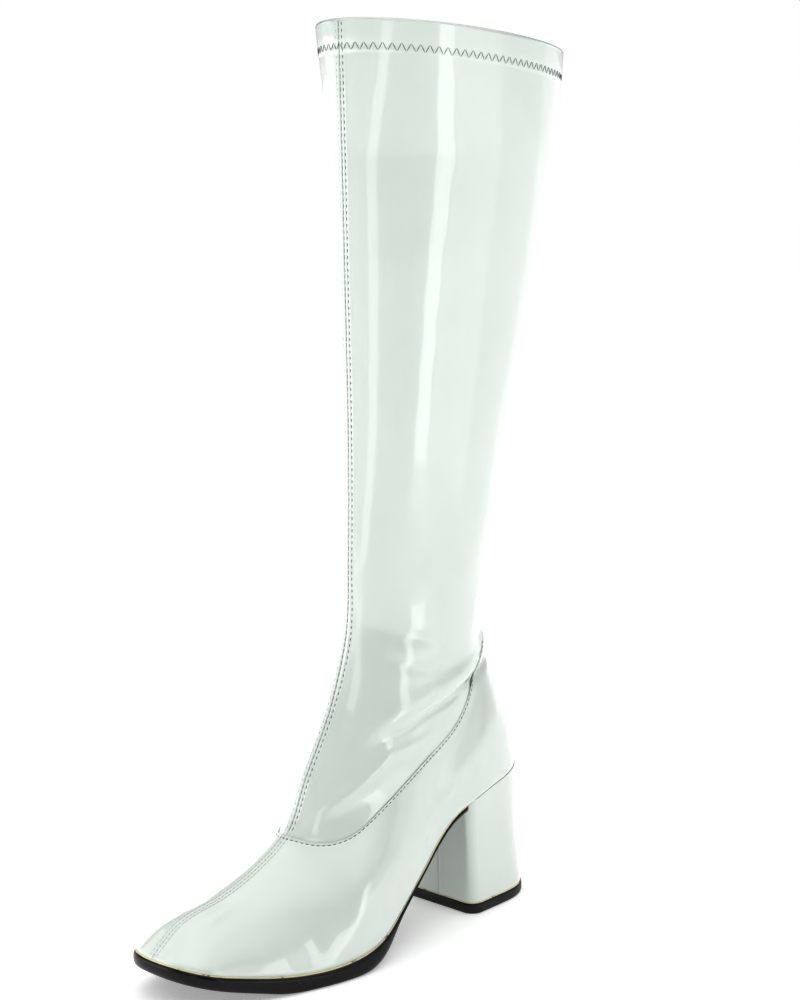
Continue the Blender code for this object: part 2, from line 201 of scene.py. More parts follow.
def cubic(xs, ys, at):
    """Reads a smooth curve through the points (xs, ys) at the given places."""
    step = np.diff(xs)
    rise = np.diff(ys) / step
    slope = np.empty(len(ys))
    slope[1:-1] = (rise[:-1] * step[1:] + rise[1:] * step[:-1]) / (step[1:] + step[:-1])
    slope[0] = 1.5 * rise[0] - 0.5 * slope[1]
    slope[-1] = 1.5 * rise[-1] - 0.5 * slope[-2]
    i = np.clip(np.searchsorted(xs, at, side="right") - 1, 0, len(xs) - 2)
    t = (at - xs[i]) / step[i]
    start = (2 * t**3 - 3 * t**2 + 1) * ys[i] + (t**3 - 2 * t**2 + t) * slope[i] * step[i]
    end = (3 * t**2 - 2 * t**3) * ys[i + 1] + (t**3 - t**2) * slope[i + 1] * step[i]
    return start + end


def read(rows, key, column, at):
    """A table's smooth curve, which stays level past both its ends."""
    return cubic(rows[key], rows[column], np.clip(at, rows[key][0], rows[key][-1]))


def lengths(points):
    """Distance along a line of points, from 0 at its first."""
    return np.append(0, np.cumsum(np.linalg.norm(np.diff(points, axis=0), axis=1)))


def at_lengths(points, places):
    """Points of a line at distances along it."""
    along = lengths(points)
    return np.column_stack([np.interp(places, along, column) for column in points.T])


def evenly(points, count):
    """The same line with its points at even distances."""
    return at_lengths(points, np.linspace(0, lengths(points)[-1], count))


def ease(t):
    """Goes from 0 to 1 with a soft start and a soft end."""
    t = np.clip(t, 0, 1)
    return t * t * (3 - 2 * t)


print("feather line at the ball", round(float(read(FEATHER, "y", "z", -170.0)), 2), "mm up")

# %% [markdown]
# The two seams in the side view are read as fine lines of points. The ridge is the part of the
# front line over the foot, and gives the height of each section of the foot.

# %% Front, back and ridge
FINE = 240


def profile(rows):
    """A smooth line in the side view, through the rows of a table."""
    corners = np.column_stack([rows["y"], rows["z"]])
    along = lengths(corners)
    places = np.linspace(0, along[-1], 4 * FINE)
    return evenly(np.column_stack([cubic(along, column, places) for column in corners.T]), FINE)


FRONT_LINE, BACK_LINE = profile(FRONT), profile(BACK)
ridge = [FRONT_LINE[0]]
for point in FRONT_LINE[FRONT_LINE[:, 1] < INSTEP_HEIGHT]:
    if point[0] > ridge[-1][0] + 1e-3:
        ridge.append(point)
RIDGE = np.array(ridge)
print("ridge to", [round(v, 1) for v in RIDGE[-1]])

# %% [markdown]
# ## Level lines round the boot
# `half_ring` gives one half of a level line round the boot, from the front seam to the back seam.
# Level 0 is the feather line where the sole starts, level 1 the curved vamp seam and level 2 the
# collar. All panels are laid on these lines, so they fit each other along every seam.

# %% Rings round the last
NOTHING = 1e-3


def feather(y):
    return read(FEATHER, "y", "z", y)


def ring_ends(level):
    """Front and back points of a ring."""
    ends = []
    for line, seam in ((FRONT_LINE, SEAM_FRONT), (BACK_LINE, SEAM_BACK)):
        shares = (0, seam, 1 - COLLAR_STRETCH / lengths(line)[-1], 1)
        share = np.interp(level, (0, 1, COLLAR_LEVEL, 2), shares)
        places = np.linspace(0, 1, len(line))
        ends.append(np.array([np.interp(share, places, column) for column in line.T]))
    return ends


def half_ring(level, side, shares):
    """Points of the last's skin on one side, at shares of the way from front to back."""
    front, heel_side = ring_ends(level)
    y = front[0] + (heel_side[0] - front[0]) * shares
    straight = front[1] + (heel_side[1] - front[1]) * shares
    toe, heel = FRONT_LINE[0], BACK_LINE[0]
    below = feather(toe[0] + (heel[0] - toe[0]) * shares) - (toe[1] + (heel[1] - toe[1]) * shares)
    drop = cubic(SEAM_DROP["along"], SEAM_DROP["drop"], shares)
    to_seam = ease(level)
    past_seam = 1 - ease((level - 1) / SEAM_DROP_FADE)
    z = straight + (1 - to_seam) * below - to_seam * past_seam * drop

    floor = feather(y)
    above = np.clip(z - floor, 0, None)
    height = np.interp(y, RIDGE[:, 0], RIDGE[:, 1]) - floor
    power = np.interp(y, FULLNESS["y"], FULLNESS["power"])
    narrowing = np.sqrt(1 - np.clip(above / np.maximum(height, NOTHING), 0, 1) ** power)
    under_leg = ease((y - RIDGE[-1, 0]) / LEG_BLEND + 0.5)
    narrowing = narrowing * (1 - under_leg) + under_leg
    half = read(OUTLINE, "y", "outer" if side > 0 else "inner", y)
    toe_end = np.clip((y - toe[0]) / TOE_ROUNDING, 0, 1)
    heel_end = np.clip((heel_side[0] - y) / HEEL_ROUNDING, 0, 1)
    rounded = (1 - (1 - toe_end) ** TOE_POWER) ** (1 / TOE_POWER)
    rounded = rounded * (1 - (1 - heel_end) ** HEEL_POWER) ** (1 / HEEL_POWER)
    swell = 1 + WALL_SWELL * np.sin(np.pi * np.clip(above / SWELL_HEIGHT, 0, 1))
    foot = half * rounded * narrowing * swell

    width = read(SHAFT, "z", "half_width", z)
    sharp = np.interp(z, SHAFT["z"], SHAFT["front_power"])
    round_power = np.where(shares < 0.5, sharp, BACK_POWER)
    shaft = width * (1 - np.abs(2 * shares - 1) ** round_power) ** (1 / round_power)

    blend = ease((level - BLEND_FROM) / BLEND_OVER)
    x = foot * (1 - blend) + shaft * blend
    return np.column_stack([side * x + read(CENTRE, "y", "x", y), y, z])


COSINE = (1 - np.cos(np.linspace(0, np.pi, 2 * FINE))) / 2  # shares that crowd near both seams
collar_halves = [lengths(half_ring(2, side, COSINE))[-1] for side in (1, -1)]
print("collar round", round(sum(collar_halves)), "mm")

# %% [markdown]
# ## Panels as grids laid on the last
# Each leather panel starts as a flat grid, and every vertex of it is moved to its place on the
# last, as a maker stretches a cut panel. The columns crowd together near the front and back
# seams, where the stitches pinch the leather, and are wider between them. The grid's own
# distances are kept as a UV map in millimetres, which the finish reads.

# %% Grid on the last
NEAR_SEAM = np.array([0, 0.3, 0.6, 0.95, 1.35, 1.75, 2.1, 2.4, 2.8, 3.3, 4.0, 5.0, 6.5])  # mm
EVEN_COLUMNS = 84


def ring(level):
    """A closed ring from the back seam, inner side, to the front and back on the outer side."""
    halves = []
    for side in (-1, 1):
        line = half_ring(level, side, COSINE)
        total = lengths(line)[-1]
        even = np.linspace(NEAR_SEAM[-1], total - NEAR_SEAM[-1], EVEN_COLUMNS)[1:-1]
        places = np.concatenate([NEAR_SEAM, even, total - NEAR_SEAM[::-1]])
        points = at_lengths(line, places)
        halves.append(np.column_stack([points, side * places, side * (total - places)]))
    inner, outer = halves
    return np.vstack([inner[::-1], outer[1:]])


print(len(ring(1.0)), "columns")

# %% [markdown]
# ## Creases
# Stretch patent is soft, so the shaft sags a little and rolls over the counter at the ankle.
# Each crease is given as a line in the side view, with how strongly it shows along its
# length, then its height, its width and how far above that line it lies. A ridge has a positive
# height and a trough a negative one, and both fade out smoothly.

# %% Crease lines
ANKLE_FOLD = table(
    "y z strength",
    (-20, 137, 1), (-29, 133, 1), (-40, 128, 1), (-56, 124, 1), (-66, 121, 0.9),
    (-83, 117.5, 0.8), (-96, 113, 0.55), (-107, 110, 0.3), (-124, 102, 0),
)
INSTEP_RIDGE = table(
    "y z strength",
    (-62, 110, 0), (-78, 106, 0.5), (-92, 103, 1), (-104, 101, 1), (-111, 97.5, 0.9),
    (-127, 86, 0.9), (-138, 79, 0.8), (-152, 68, 0),
)
UPPER_WRINKLE = table(
    "y z strength",
    (-48, 148, 0), (-66, 151, 0.5), (-82, 156, 1), (-94, 160, 0.6), (-108, 165, 0),
)
LOWER_WRINKLE = table(
    "y z strength",
    (-50, 137, 0), (-68, 137, 0.5), (-84, 139, 1), (-95, 143, 0.6), (-108, 151, 0),
)
FRONT_DENT = table("y z strength", (-104, 392, 0), (-107, 372, 1), (-108, 352, 0))
INNER_RIDGE = table("y z strength", (-70, 108, 0), (-88, 105, 1), (-108, 97, 1), (-126, 84, 0))

# side (1 outer, -1 inner), line, height, width, how far above the line
CREASES = (
    (1, ANKLE_FOLD, -1.5, 2.6, -0.5),
    (1, ANKLE_FOLD, 2.4, 6.0, 8.0),
    (1, INSTEP_RIDGE, 1.3, 3.4, 0.0),
    (1, INSTEP_RIDGE, -0.5, 5.5, -8.0),
    (1, UPPER_WRINKLE, -0.7, 3.5, 0.0),
    (1, LOWER_WRINKLE, -0.6, 3.0, 2.0),
    (-1, FRONT_DENT, -1.3, 8.0, 0.0),
    (-1, ANKLE_FOLD, -1.5, 2.8, -0.5),
    (-1, ANKLE_FOLD, 2.2, 6.0, 8.0),
    (-1, INNER_RIDGE, 1.2, 3.6, 0.0),
)
print(len(CREASES), "creases")

# %% [markdown]
# A vertex stands out or sinks in by how near it lies to each crease line, as seen from the side.
# Creases die out beside the seams, where the doubled leather is stiff. Between them the patent is
# never quite flat over its lining: a slow waviness of about 0.1 mm bends what it mirrors.

# %% Creases and waviness
CREASE_REACH = 70.0  # further above or below a crease line than this nothing is worked out
SEAM_CALM, WAVE_CALM = 9.0, 12.0  # how far beside a seam creases and waves have grown to full
WAVES = ((0.16, 19, 47, 0.0), (0.13, 11.3, -31, 1.7))  # height, length round, length up, start
RIPPLE, RIPPLE_UP = (0.05, 5.1, 13, 0.6), 9.7


def side_distance(y, z, line):
    """Distance above a line in the side view, with the line's strength at the nearest place."""
    places = np.linspace(0, 1, 60)
    knots = np.linspace(0, 1, len(line["y"]))
    ly, lz, strength = (cubic(knots, line[name], places) for name in ("y", "z", "strength"))
    gap = np.hypot(y[:, None] - ly, z[:, None] - lz)
    near = gap.argmin(axis=1)
    slope_y, slope_z = np.gradient(ly)[near], np.gradient(lz)[near]
    across = (z - lz[near]) * slope_y - (y - ly[near]) * slope_z
    return np.sign(-across) * gap.min(axis=1), np.clip(strength[near], 0, 1)


def creases(points, front):
    """How far each point stands out because of the creases, in millimetres."""
    y, z = points[..., 1].ravel(), points[..., 2].ravel()
    outer = front.ravel() >= 0
    out = np.zeros(len(y))
    for side, line, height, width, offset in CREASES:
        near_line = (outer == (side > 0)) & (np.abs(z - line["z"].mean()) < CREASE_REACH)
        if not near_line.any():
            continue
        above, strength = side_distance(y[near_line], z[near_line], line)
        out[near_line] += height * strength * np.exp(-(((above - offset) / width) ** 2))
    return (out * ease(np.abs(front.ravel()) / SEAM_CALM)).reshape(front.shape)


def wave(front, z, height, around, up, start):
    return height * np.sin(front / around + z / up + start)


def waviness(points, front):
    """The slight unevenness of lined patent, which bends its reflections."""
    z = points[..., 2]
    out = sum(wave(front, z, *row) for row in WAVES)
    out = out + wave(front, z, *RIPPLE) * np.sin(z / RIPPLE_UP)
    return out * ease(np.abs(front) / WAVE_CALM)


highest = max(height for _, _, height, _, _ in CREASES)
print("creases up to", highest, "mm, waves up to", WAVES[0][0], "mm")

# %% [markdown]
# ## Seams in the leather
# The front and back seams are closed face to face, pressed open and topstitched on both sides.
# The turned edges under the leather lift it a little, the seam itself is a fine groove and each
# row of stitches draws the leather down.

# %% Seam relief
TOPSTITCH = 2.1  # the rows of stitches lie this far beside a seam
SEAM_PAD, PAD_HALF, PAD_FADE = 0.3, 2.6, 2.2
SEAM_GROOVE, GROOVE_HALF = 0.5, 0.4
STITCH_PULL, PULL_HALF = 0.22, 0.42


def bump_at(distance, middle, half_width):
    """A soft round bump, 1 at its middle."""
    return np.exp(-(((distance - middle) / half_width) ** 2))


def seam_relief(distance):
    """How far the leather stands out at a distance from a seam."""
    d = np.abs(distance)
    pad = SEAM_PAD * (1 - ease((d - PAD_HALF) / PAD_FADE))
    groove = SEAM_GROOVE * bump_at(d, 0, GROOVE_HALF)
    pull = STITCH_PULL * bump_at(d, TOPSTITCH, PULL_HALF)
    return pad - groove - pull


print("relief in the seam and beside it", [round(float(seam_relief(d)), 2) for d in (0.0, 1.0)], "mm")

# %% [markdown]
# ## From a flat grid to a panel
# `skin` gives the places on the last for the rows of a grid, and which way is outwards there.
# `lay_panel` makes the grid with a mesh operator, moves its vertices to those places and closes
# it along the back seam. `keep` turns the result into an object that rides on the boot's body.

# %% Laying a panel
RING_STEP = 0.004


def ring_frame(level):
    """A ring with its outward directions and its distances to the front and back seams."""
    here = ring(level)
    higher, lower = ring(min(level + RING_STEP, 2)), ring(max(level - RING_STEP, 0))
    points = here[:, :3]
    around = np.empty_like(points)
    around[1:-1] = points[2:] - points[:-2]
    around[0] = around[-1] = points[1] - points[-2]
    out = np.cross(around, higher[:, :3] - lower[:, :3])
    out = out / np.linalg.norm(out, axis=1, keepdims=True)
    return points, out, here[:, 3], here[:, 4]


def skin(rows):
    """Places, outward directions and seam distances for rows of (level, how far out, how far up)."""
    known = {row[0]: ring_frame(row[0]) for row in rows}
    return [np.array([known[row[0]][part] for row in rows]) for part in range(4)]


def down(rows, part):
    """One part of every row, as a column that numpy spreads across the grid."""
    return np.array([row[part] for row in rows])[:, None]


def lay_panel(name, places, front, outwards=True):
    """A flat grid moved row by row to its places on the last, and closed along the back seam."""
    rows, columns = places.shape[:2]
    bm = bmesh.new()
    bmesh.ops.create_grid(bm, x_segments=columns - 1, y_segments=rows - 1, size=1)
    order = sorted(bm.verts, key=lambda v: (round(v.co.y, 6), round(v.co.x, 6)))
    height = np.zeros((rows, columns))
    height[1:] = np.cumsum(np.linalg.norm(np.diff(places, axis=0), axis=2), axis=0)
    across = {}
    for i, vert in enumerate(order):
        row, column = divmod(i, columns)
        vert.co = (places[row, column] + SHIFT) * MM
        across[vert] = (front[row, column], height[row, column])
    layer = bm.loops.layers.uv.new("UVMap")
    for face in bm.faces:
        for loop in face.loops:
            loop[layer].uv = across[loop.vert]
    bmesh.ops.remove_doubles(bm, verts=bm.verts, dist=1e-7)
    middle = order[len(order) // 2 + columns // 4]
    bm.normal_update()
    facing_out = middle.normal.dot(middle.co - Vector((0, middle.co.y, middle.co.z))) > 0
    if facing_out != outwards:
        bmesh.ops.reverse_faces(bm, faces=bm.faces)
    return keep(bm, name)


def keep(bm, name):
    """Turns a bmesh into a piece of the boot that rides on its one body."""
    mesh = bpy.data.meshes.new(name)
    bm.to_mesh(mesh)
    bm.free()
    piece = bpy.data.objects.new(name, mesh)
    bpy.context.scene.collection.objects.link(piece)
    mesh.shade_smooth()
    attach(piece, "root")
    print(name, len(mesh.polygons), "faces")
    return piece


# %% [markdown]
# ## The foot panel
# Vamp and counter are one panel each side, lasted over the toe and heel. Its upper edge laps
# over the shaft along the curved vamp seam, so it has a thin rounded edge there, and one row of
# stitches runs a little below it. Its lower edge turns in under the boot.

# %% Rows of the foot panel
LAP = 0.6  # thickness of the panel's edge over the shaft
FEATHER_ROUNDING = 0.016  # the lower edge is full thickness from this level up
EDGE_FROM = 0.92  # rows crowd together above this level

foot_levels = np.concatenate([
    [0.004, 0.012, 0.03], np.linspace(0.06, EDGE_FROM, 58),
    EDGE_FROM + 0.08 * np.linspace(0, 1, 19)[1:],
])
# Each row is a level, how far out of the last it lies and how far it is lifted
foot_rows = [(0, -1.2, 0), (0, 0.15, 0)]
foot_rows += [(level, LAP * min(1, (0.25 + level / FEATHER_ROUNDING)), 0) for level in foot_levels]
foot_rows += [(1.0, LAP * 0.9, 0.18), (1.0, LAP * 0.55, 0.3), (1.0, -0.15, 0.3)]
print(len(foot_rows), "rows")

# %% [markdown]
# At the back of the ankle the shaft sags over the foot panel, and the lap disappears under that
# fold. So the panel's edge gets thinner towards the back seam, and its stitches stop pulling.

# %% Foot panel
EDGE_STITCH = 1.3  # the row of stitches below the edge
EDGE_PULL, EDGE_PULL_HALF = 0.2, 0.45
FOLD_NEAR, FOLD_FADE = 16, 22  # the fold covers the lap this near the back seam, and then fades
FOLD_LEVEL, FOLD_DEPTH, FOLD_THINS = 0.8, 0.2, 0.85

base, out, front, rear = skin(foot_rows)
level_of, away, lift = (down(foot_rows, part) for part in range(3))
climb = np.linalg.norm(np.diff(base, axis=0), axis=2)
below_edge = np.append(np.cumsum(climb[::-1], axis=0)[::-1], np.zeros((1, base.shape[1])), axis=0)
stitch_pull = -EDGE_PULL * bump_at(below_edge, EDGE_STITCH, EDGE_PULL_HALF)
relief = seam_relief(front) + seam_relief(rear) + creases(base, front) + waviness(base, front)
at_back = 1 - ease((np.abs(rear) - FOLD_NEAR) / FOLD_FADE)
under_fold = at_back * ease((level_of - FOLD_LEVEL) / FOLD_DEPTH)
above_skin = np.where(away > 0, away * (1 - FOLD_THINS * under_fold), away)
foot_out = above_skin + (relief + stitch_pull * (1 - under_fold)) * np.clip(away / LAP, 0, 1)
foot_places = base + out * foot_out[:, :, None]
foot_places[:, :, 2] += lift
foot_places[:2, :, 2] = feather(foot_places[:2, :, 1])
foot_panel = lay_panel("foot_panel", foot_places, front)
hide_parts("upper")
foot = dict(places=foot_places, out=out, front=front, rear=rear)

# %% [markdown]
# ## The shaft
# The shaft starts just under the foot panel's edge and ends at the collar, where the patent
# rolls over and is turned in for 16 mm. The turned-in hem is held by a zigzag, which stretches
# with the leg. Rows crowd together where it curves over the collar.

# %% Rows of the shaft
WALL = 1.8
HEM_STEP, HEM_DEPTH = 0.3, 16.0
FOLDS_FROM, FOLDS_TO = 1.045, 1.32  # rows lie closest between these levels, where the folds are


def collar_level(depth):
    """The level at a depth in millimetres below the collar."""
    return 2 - (2 - COLLAR_LEVEL) * depth / COLLAR_STRETCH


collar_radius = (WALL + 2 * HEM_STEP) / 2
hem_level, roll_start = collar_level(HEM_DEPTH), collar_level(collar_radius)
shaft_levels = np.concatenate([
    0.975 + 0.065 * np.linspace(0, 1, 9), np.linspace(FOLDS_FROM, FOLDS_TO, 90),
    np.linspace(1.325, hem_level - 0.004, 120), np.linspace(hem_level - 0.001, roll_start, 26),
])
skin_rows = len(shaft_levels)
shaft_rows = [(level, 0.0, 0) for level in shaft_levels]
for t in np.linspace(0, math.pi, 9)[1:]:
    rolled_in = HEM_STEP - collar_radius + collar_radius * math.cos(t)
    shaft_rows.append((2, rolled_in, collar_radius * (math.sin(t) - 1)))
shaft_rows += [(level, -WALL - HEM_STEP, 0) for level in np.linspace(roll_start, hem_level, 12)[1:]]
shaft_rows += [(hem_level - 0.001, -WALL + 0.1, 0)]
print(skin_rows, "rows outside and", len(shaft_rows) - skin_rows, "over and inside the collar")

# %% [markdown]
# The outside rows get the seams, creases and waves, the step of the hem and the slight pull of
# the zigzag. Below the vamp seam the shaft is tucked in under the foot panel, and at the back of
# the ankle it lies over the panel's edge instead.

# %% Shaft
HEM_RISE, HEM_RISE_OVER = 1.2, 1.6
ZIGZAG_DEPTH, ZIGZAG_WIDTH = 13.3, 4.2
ZIGZAG_PULL, ZIGZAG_PULL_HALF = 0.16, 2.6
TUCK, TUCK_LEVEL, TUCK_OVER, TUCK_LOWER = 0.5, 0.99, 0.014, 0.012
SAG, SAG_OVER = 0.6, 0.08

base, out, front, rear = skin(shaft_rows)
level_of, away, lift = (down(shaft_rows, part) for part in range(3))
below_collar = (2 - level_of) * COLLAR_STRETCH / (2 - COLLAR_LEVEL)
hem = HEM_STEP * (1 - ease((below_collar - HEM_DEPTH + HEM_RISE) / HEM_RISE_OVER))
zigzag_pull = -ZIGZAG_PULL * bump_at(below_collar, ZIGZAG_DEPTH, ZIGZAG_PULL_HALF)
relief = seam_relief(front) + seam_relief(rear) + creases(base, front) + waviness(base, front)
at_back = 1 - ease((np.abs(rear) - FOLD_NEAR) / FOLD_FADE)
tucked = -TUCK * (1 - ease((level_of - TUCK_LEVEL + TUCK_LOWER * at_back) / TUCK_OVER))
tucked += SAG * at_back * (1 - ease((level_of - 1.0) / SAG_OVER))
rolled = np.arange(len(shaft_rows)) >= skin_rows
shaft_out = away + np.where(rolled[:, None], 0, relief + hem + zigzag_pull + tucked)
out[rolled, :, 2] = 0
out[rolled] /= np.linalg.norm(out[rolled], axis=2, keepdims=True)
shaft_places = base + out * shaft_out[:, :, None]
shaft_places[:, :, 2] += lift
shaft = lay_panel("shaft", shaft_places, front)
leg = dict(places=shaft_places, out=out, front=front, rear=rear)
leg = {name: grid[:skin_rows] for name, grid in leg.items()}

# %% [markdown]
# ## The lining
# Inside is a thin knit lining from the hem down to the insole. It is the same grid, laid a
# wall's thickness further in, and faces the foot.

# %% Lining
LINING_FOLLOWS = 0.6  # the share of each crease that also shows inside

lining_rows = [(level, -WALL, 0) for level in np.linspace(0.03, hem_level + 0.004, 110)]
base, out, front, rear = skin(lining_rows)
away = -WALL + LINING_FOLLOWS * (creases(base, front) + waviness(base, front))
lining_places = base + out * away[:, :, None]
lining = lay_panel("lining", lining_places, front, outwards=False)

# %% [markdown]
# ## The sole's outline
# The sole follows the feather line's outline in plan, from the toe to the breast of the heel. For
# each part that outline is moved in or out by a shaped reach. A glue gap of 0.45 mm is left between
# parts that are stuck together.

# %% Outlines
GLUE_GAP = 0.45
BREAST_Y = -56.0
SOLE_POINTS, TOE_CROWDING = 110, 1.5  # the points lie closer together round the toe


def grown(points, reach):
    """A closed outline moved outwards in plan."""
    along = np.roll(points, -1, axis=0) - np.roll(points, 1, axis=0)
    out = np.column_stack([along[:, 1], -along[:, 0]])
    out /= np.linalg.norm(out, axis=1, keepdims=True)
    if (out * (points[:, :2] - points[:, :2].mean(axis=0))).sum() < 0:
        out = -out
    moved = points.copy()
    moved[:, :2] += out * np.reshape(reach, (-1, 1))
    return moved


def sole_outline(start_y, end_y):
    """The feather line's outline between two places along the foot, outer side first."""
    toe, heel = FRONT_LINE[0][0], BACK_LINE[0][0]
    first, last = (start_y - toe) / (heel - toe), (end_y - toe) / (heel - toe)
    shares = first + (last - first) * np.linspace(0, 1, SOLE_POINTS) ** TOE_CROWDING
    return np.vstack([half_ring(0, 1, shares), half_ring(0, -1, shares)[-1:0:-1]])


feather_outline = sole_outline(TOE_Y, BREAST_Y - GLUE_GAP)
print(len(feather_outline), "points round the sole")

# %% [markdown]
# ## Closed slabs
# Sole, heel, top piece and the thin bond lines are all slabs with a shaped edge. Each starts as
# a circle whose vertices are moved to the outline. The edge is extruded ring by ring, and both
# faces are filled and cut into strips straight across, so that they bend only along the foot.

# %% Slabs


def slab(name, outlines):
    """A closed slab through a stack of outlines with the same number of points, top first."""
    count = len(outlines[0])
    bm = bmesh.new()
    bmesh.ops.create_circle(bm, cap_ends=False, radius=1, segments=count)
    bm.verts.ensure_lookup_table()
    line = sorted(bm.verts, key=lambda v: math.atan2(v.co.x, v.co.y) % (2 * math.pi))
    lines = []
    for outline in outlines:
        if lines:
            edges = [bm.edges.get((line[i], line[(i + 1) % count])) for i in range(count)]
            made = bmesh.ops.extrude_edge_only(bm, edges=edges)["geom"]
            fresh = {v for v in made if isinstance(v, bmesh.types.BMVert)}
            beside = [[edge.other_vert(vert) for edge in vert.link_edges] for vert in line]
            line = [next(vert for vert in near if vert in fresh) for near in beside]
        for vert, place in zip(line, outline):
            vert.co = (place + SHIFT) * MM
        lines.append(line)
    for cap in (lines[0], lines[-1]):
        bmesh.ops.contextual_create(bm, geom=cap)
        for i in range(1, count // 2):
            bmesh.ops.connect_vert_pair(bm, verts=[cap[i], cap[count - i]])
    bmesh.ops.recalc_face_normals(bm, faces=bm.faces)
    return keep(bm, name)


def sharpen(piece, degrees):
    """Keeps edges that turn by more than this crisp under smooth shading."""
    piece.data.set_sharp_from_angle(angle=math.radians(degrees))
    return piece


# %% [markdown]
# ## The outsole
# It is cut from black sheet, thick at the ball and skived thin under the arch, and its edge is
# inked and polished. The edge is a shallow curve with a small bevel at the top and at the tread.

# %% Outsole
UNDERSIDE = table(
    "y z",
    (-240, 16.4), (-228, 12.4), (-214, 7.6), (-200, 3.6), (-190, 1.1), (-180, 0), (-150, 0),
    (-142, 0.8), (-132, 4.6), (-115, 18.6), (-92, 35.6), (-66, 56.0), (-50, 60.6),
)
SOLE_REACH = table("y reach", (-240, 1.2), (-205, 1.7), (-150, 1.8), (-115, 0.8), (-56, 0.0))
SOLE_EDGE = table(
    "depth reach",
    (0, -2.5), (0, -0.7), (0.03, -0.25), (0.1, 0), (0.3, 0.22), (0.5, 0.3), (0.7, 0.15),
    (0.85, -0.2), (0.94, -0.7), (1, -1.7), (1, -4),
)
sole_rings = []
for depth, reach in zip(SOLE_EDGE["depth"], SOLE_EDGE["reach"]):
    reach_here = LAP + cubic(SOLE_REACH["y"], SOLE_REACH["reach"], feather_outline[:, 1]) + reach
    outline = grown(feather_outline, reach_here)
    outline[:, 1] = np.minimum(outline[:, 1], BREAST_Y - GLUE_GAP)
    top = feather(outline[:, 1]) - GLUE_GAP
    under = np.maximum(cubic(UNDERSIDE["y"], UNDERSIDE["z"], outline[:, 1]), 0)
    outline[:, 2] = top + (under - top) * depth
    sole_rings.append(outline)
outsole = sharpen(slab("outsole_dressed", sole_rings), 50)
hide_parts("outsole")

# %% [markdown]
# ## The bond line of the sole
# A hairline of cream shows all along the joint between upper and sole. It is the edge of the
# lasting board and of dried cement. A thin slab fills the joint and stands out just enough to be
# seen. Behind the arch it is drawn in again, because the sole's edge stands out less there.

# %% Sole bond line
BOND_COVER = 0.08
ARCH_Y, ARCH_FADE, DRAWN_IN = -125, 25, 0.5
bond_rings = []
behind_arch = DRAWN_IN * ease((feather_outline[:, 1] - ARCH_Y) / ARCH_FADE)
for share, reach in ((0, LAP + 0.05), (0.5, LAP + 0.35), (1, LAP + 0.3)):
    outline = grown(feather_outline, reach - behind_arch)
    outline[:, 1] = np.minimum(outline[:, 1], BREAST_Y)
    outline[:, 2] = feather(outline[:, 1]) + BOND_COVER - (GLUE_GAP + 2 * BOND_COVER) * share
    bond_rings.append(outline)
bond_line = slab("sole_bond_line", bond_rings)

# %% [markdown]
# ## The block heel
# A moulded block is wrapped in the same patent. The cover's two ends meet in an upright butt
# seam on the breast, a little to the outer side. The heel is waisted slightly, and its breast
# corners are softly rounded by the wrapped leather. It has two outlines, one at the top piece and
# one at the seat, and both are drawn with the same number of points.

# %% Outlines of the heel
TOP_PIECE_HEIGHT, TOP_PIECE_PROUD = 6.0, 0.5
HEEL_WIDTH, HEEL_LENGTH, HEEL_BACK_Y = 63.4, 55.4, 1.7
HEEL_CORNER, HEEL_HOLLOW = 7.0, 1.2
HEEL_TURN_POWER, HEEL_TURN_SHARE = 2.6, 0.55
COVER_SEAM = 6.7  # from the middle of the breast
SEAM_COLUMNS = np.array([-3.0, -1.2, -0.5, -0.18, 0.0, 0.18, 0.5, 1.2, 3.0])
BEFORE_SEAM, PAST_SEAM = [0, 1.8], 12


def heel_half(width, breast_y, back_side):
    """From the middle of the breast round its corner and along the side to the back."""
    corner = np.linspace(0, np.pi / 2, 14)
    breast_end = width - HEEL_CORNER
    past_seam = np.linspace(PAST_SEAM, breast_end, 7)
    across = np.concatenate([BEFORE_SEAM, COVER_SEAM + SEAM_COLUMNS, past_seam])
    breast = np.column_stack([across, np.full(len(across), breast_y)])
    turned = np.column_stack([
        breast_end + HEEL_CORNER * np.sin(corner),
        breast_y + HEEL_CORNER * (1 - np.cos(corner)),
    ])
    side = evenly(np.vstack([turned[-1:], back_side]), 60)
    return np.vstack([breast, turned[1:], side[1:]])


def both_sides(outer, inner):
    """A closed outline from its outer half and its inner half, which is drawn mirrored."""
    return np.vstack([outer, (inner * (-1, 1))[-2:0:-1]])


def flat(outline):
    """An outline in plan as points at height 0."""
    return np.column_stack([outline, np.zeros(len(outline))])


curve = np.linspace(0, np.pi / 2, 80)
turn_depth = HEEL_TURN_SHARE * HEEL_LENGTH
foot_side = np.column_stack([
    HEEL_WIDTH / 2 * np.cos(curve) ** (2 / HEEL_TURN_POWER),
    HEEL_BACK_Y - turn_depth + turn_depth * np.sin(curve) ** (2 / HEEL_TURN_POWER),
])
foot_half = heel_half(HEEL_WIDTH / 2, HEEL_BACK_Y - HEEL_LENGTH, foot_side)
foot_half[-1, 0] = 0
heel_foot = both_sides(foot_half, foot_half)

toe_at, heel_at = FRONT_LINE[0][0], BACK_LINE[0][0]
corner_share = (BREAST_Y + HEEL_CORNER - toe_at) / (heel_at - toe_at)
seat_shares = corner_share + (1 - corner_share) * np.sin(np.linspace(0, np.pi / 2, FINE))
seat_halves = []
for side in (1, -1):
    line = half_ring(0, side, seat_shares)[:, :2] * (side, 1)
    half = heel_half(line[0, 0], BREAST_Y, line)
    half[-1, 0] = 0
    seat_halves.append(half)
heel_seat = grown(flat(both_sides(*seat_halves)), LAP)[:, :2]
heel_seat[:, 1] = np.maximum(heel_seat[:, 1], BREAST_Y)
print("heel", HEEL_WIDTH, "x", HEEL_LENGTH, "mm at the top piece")

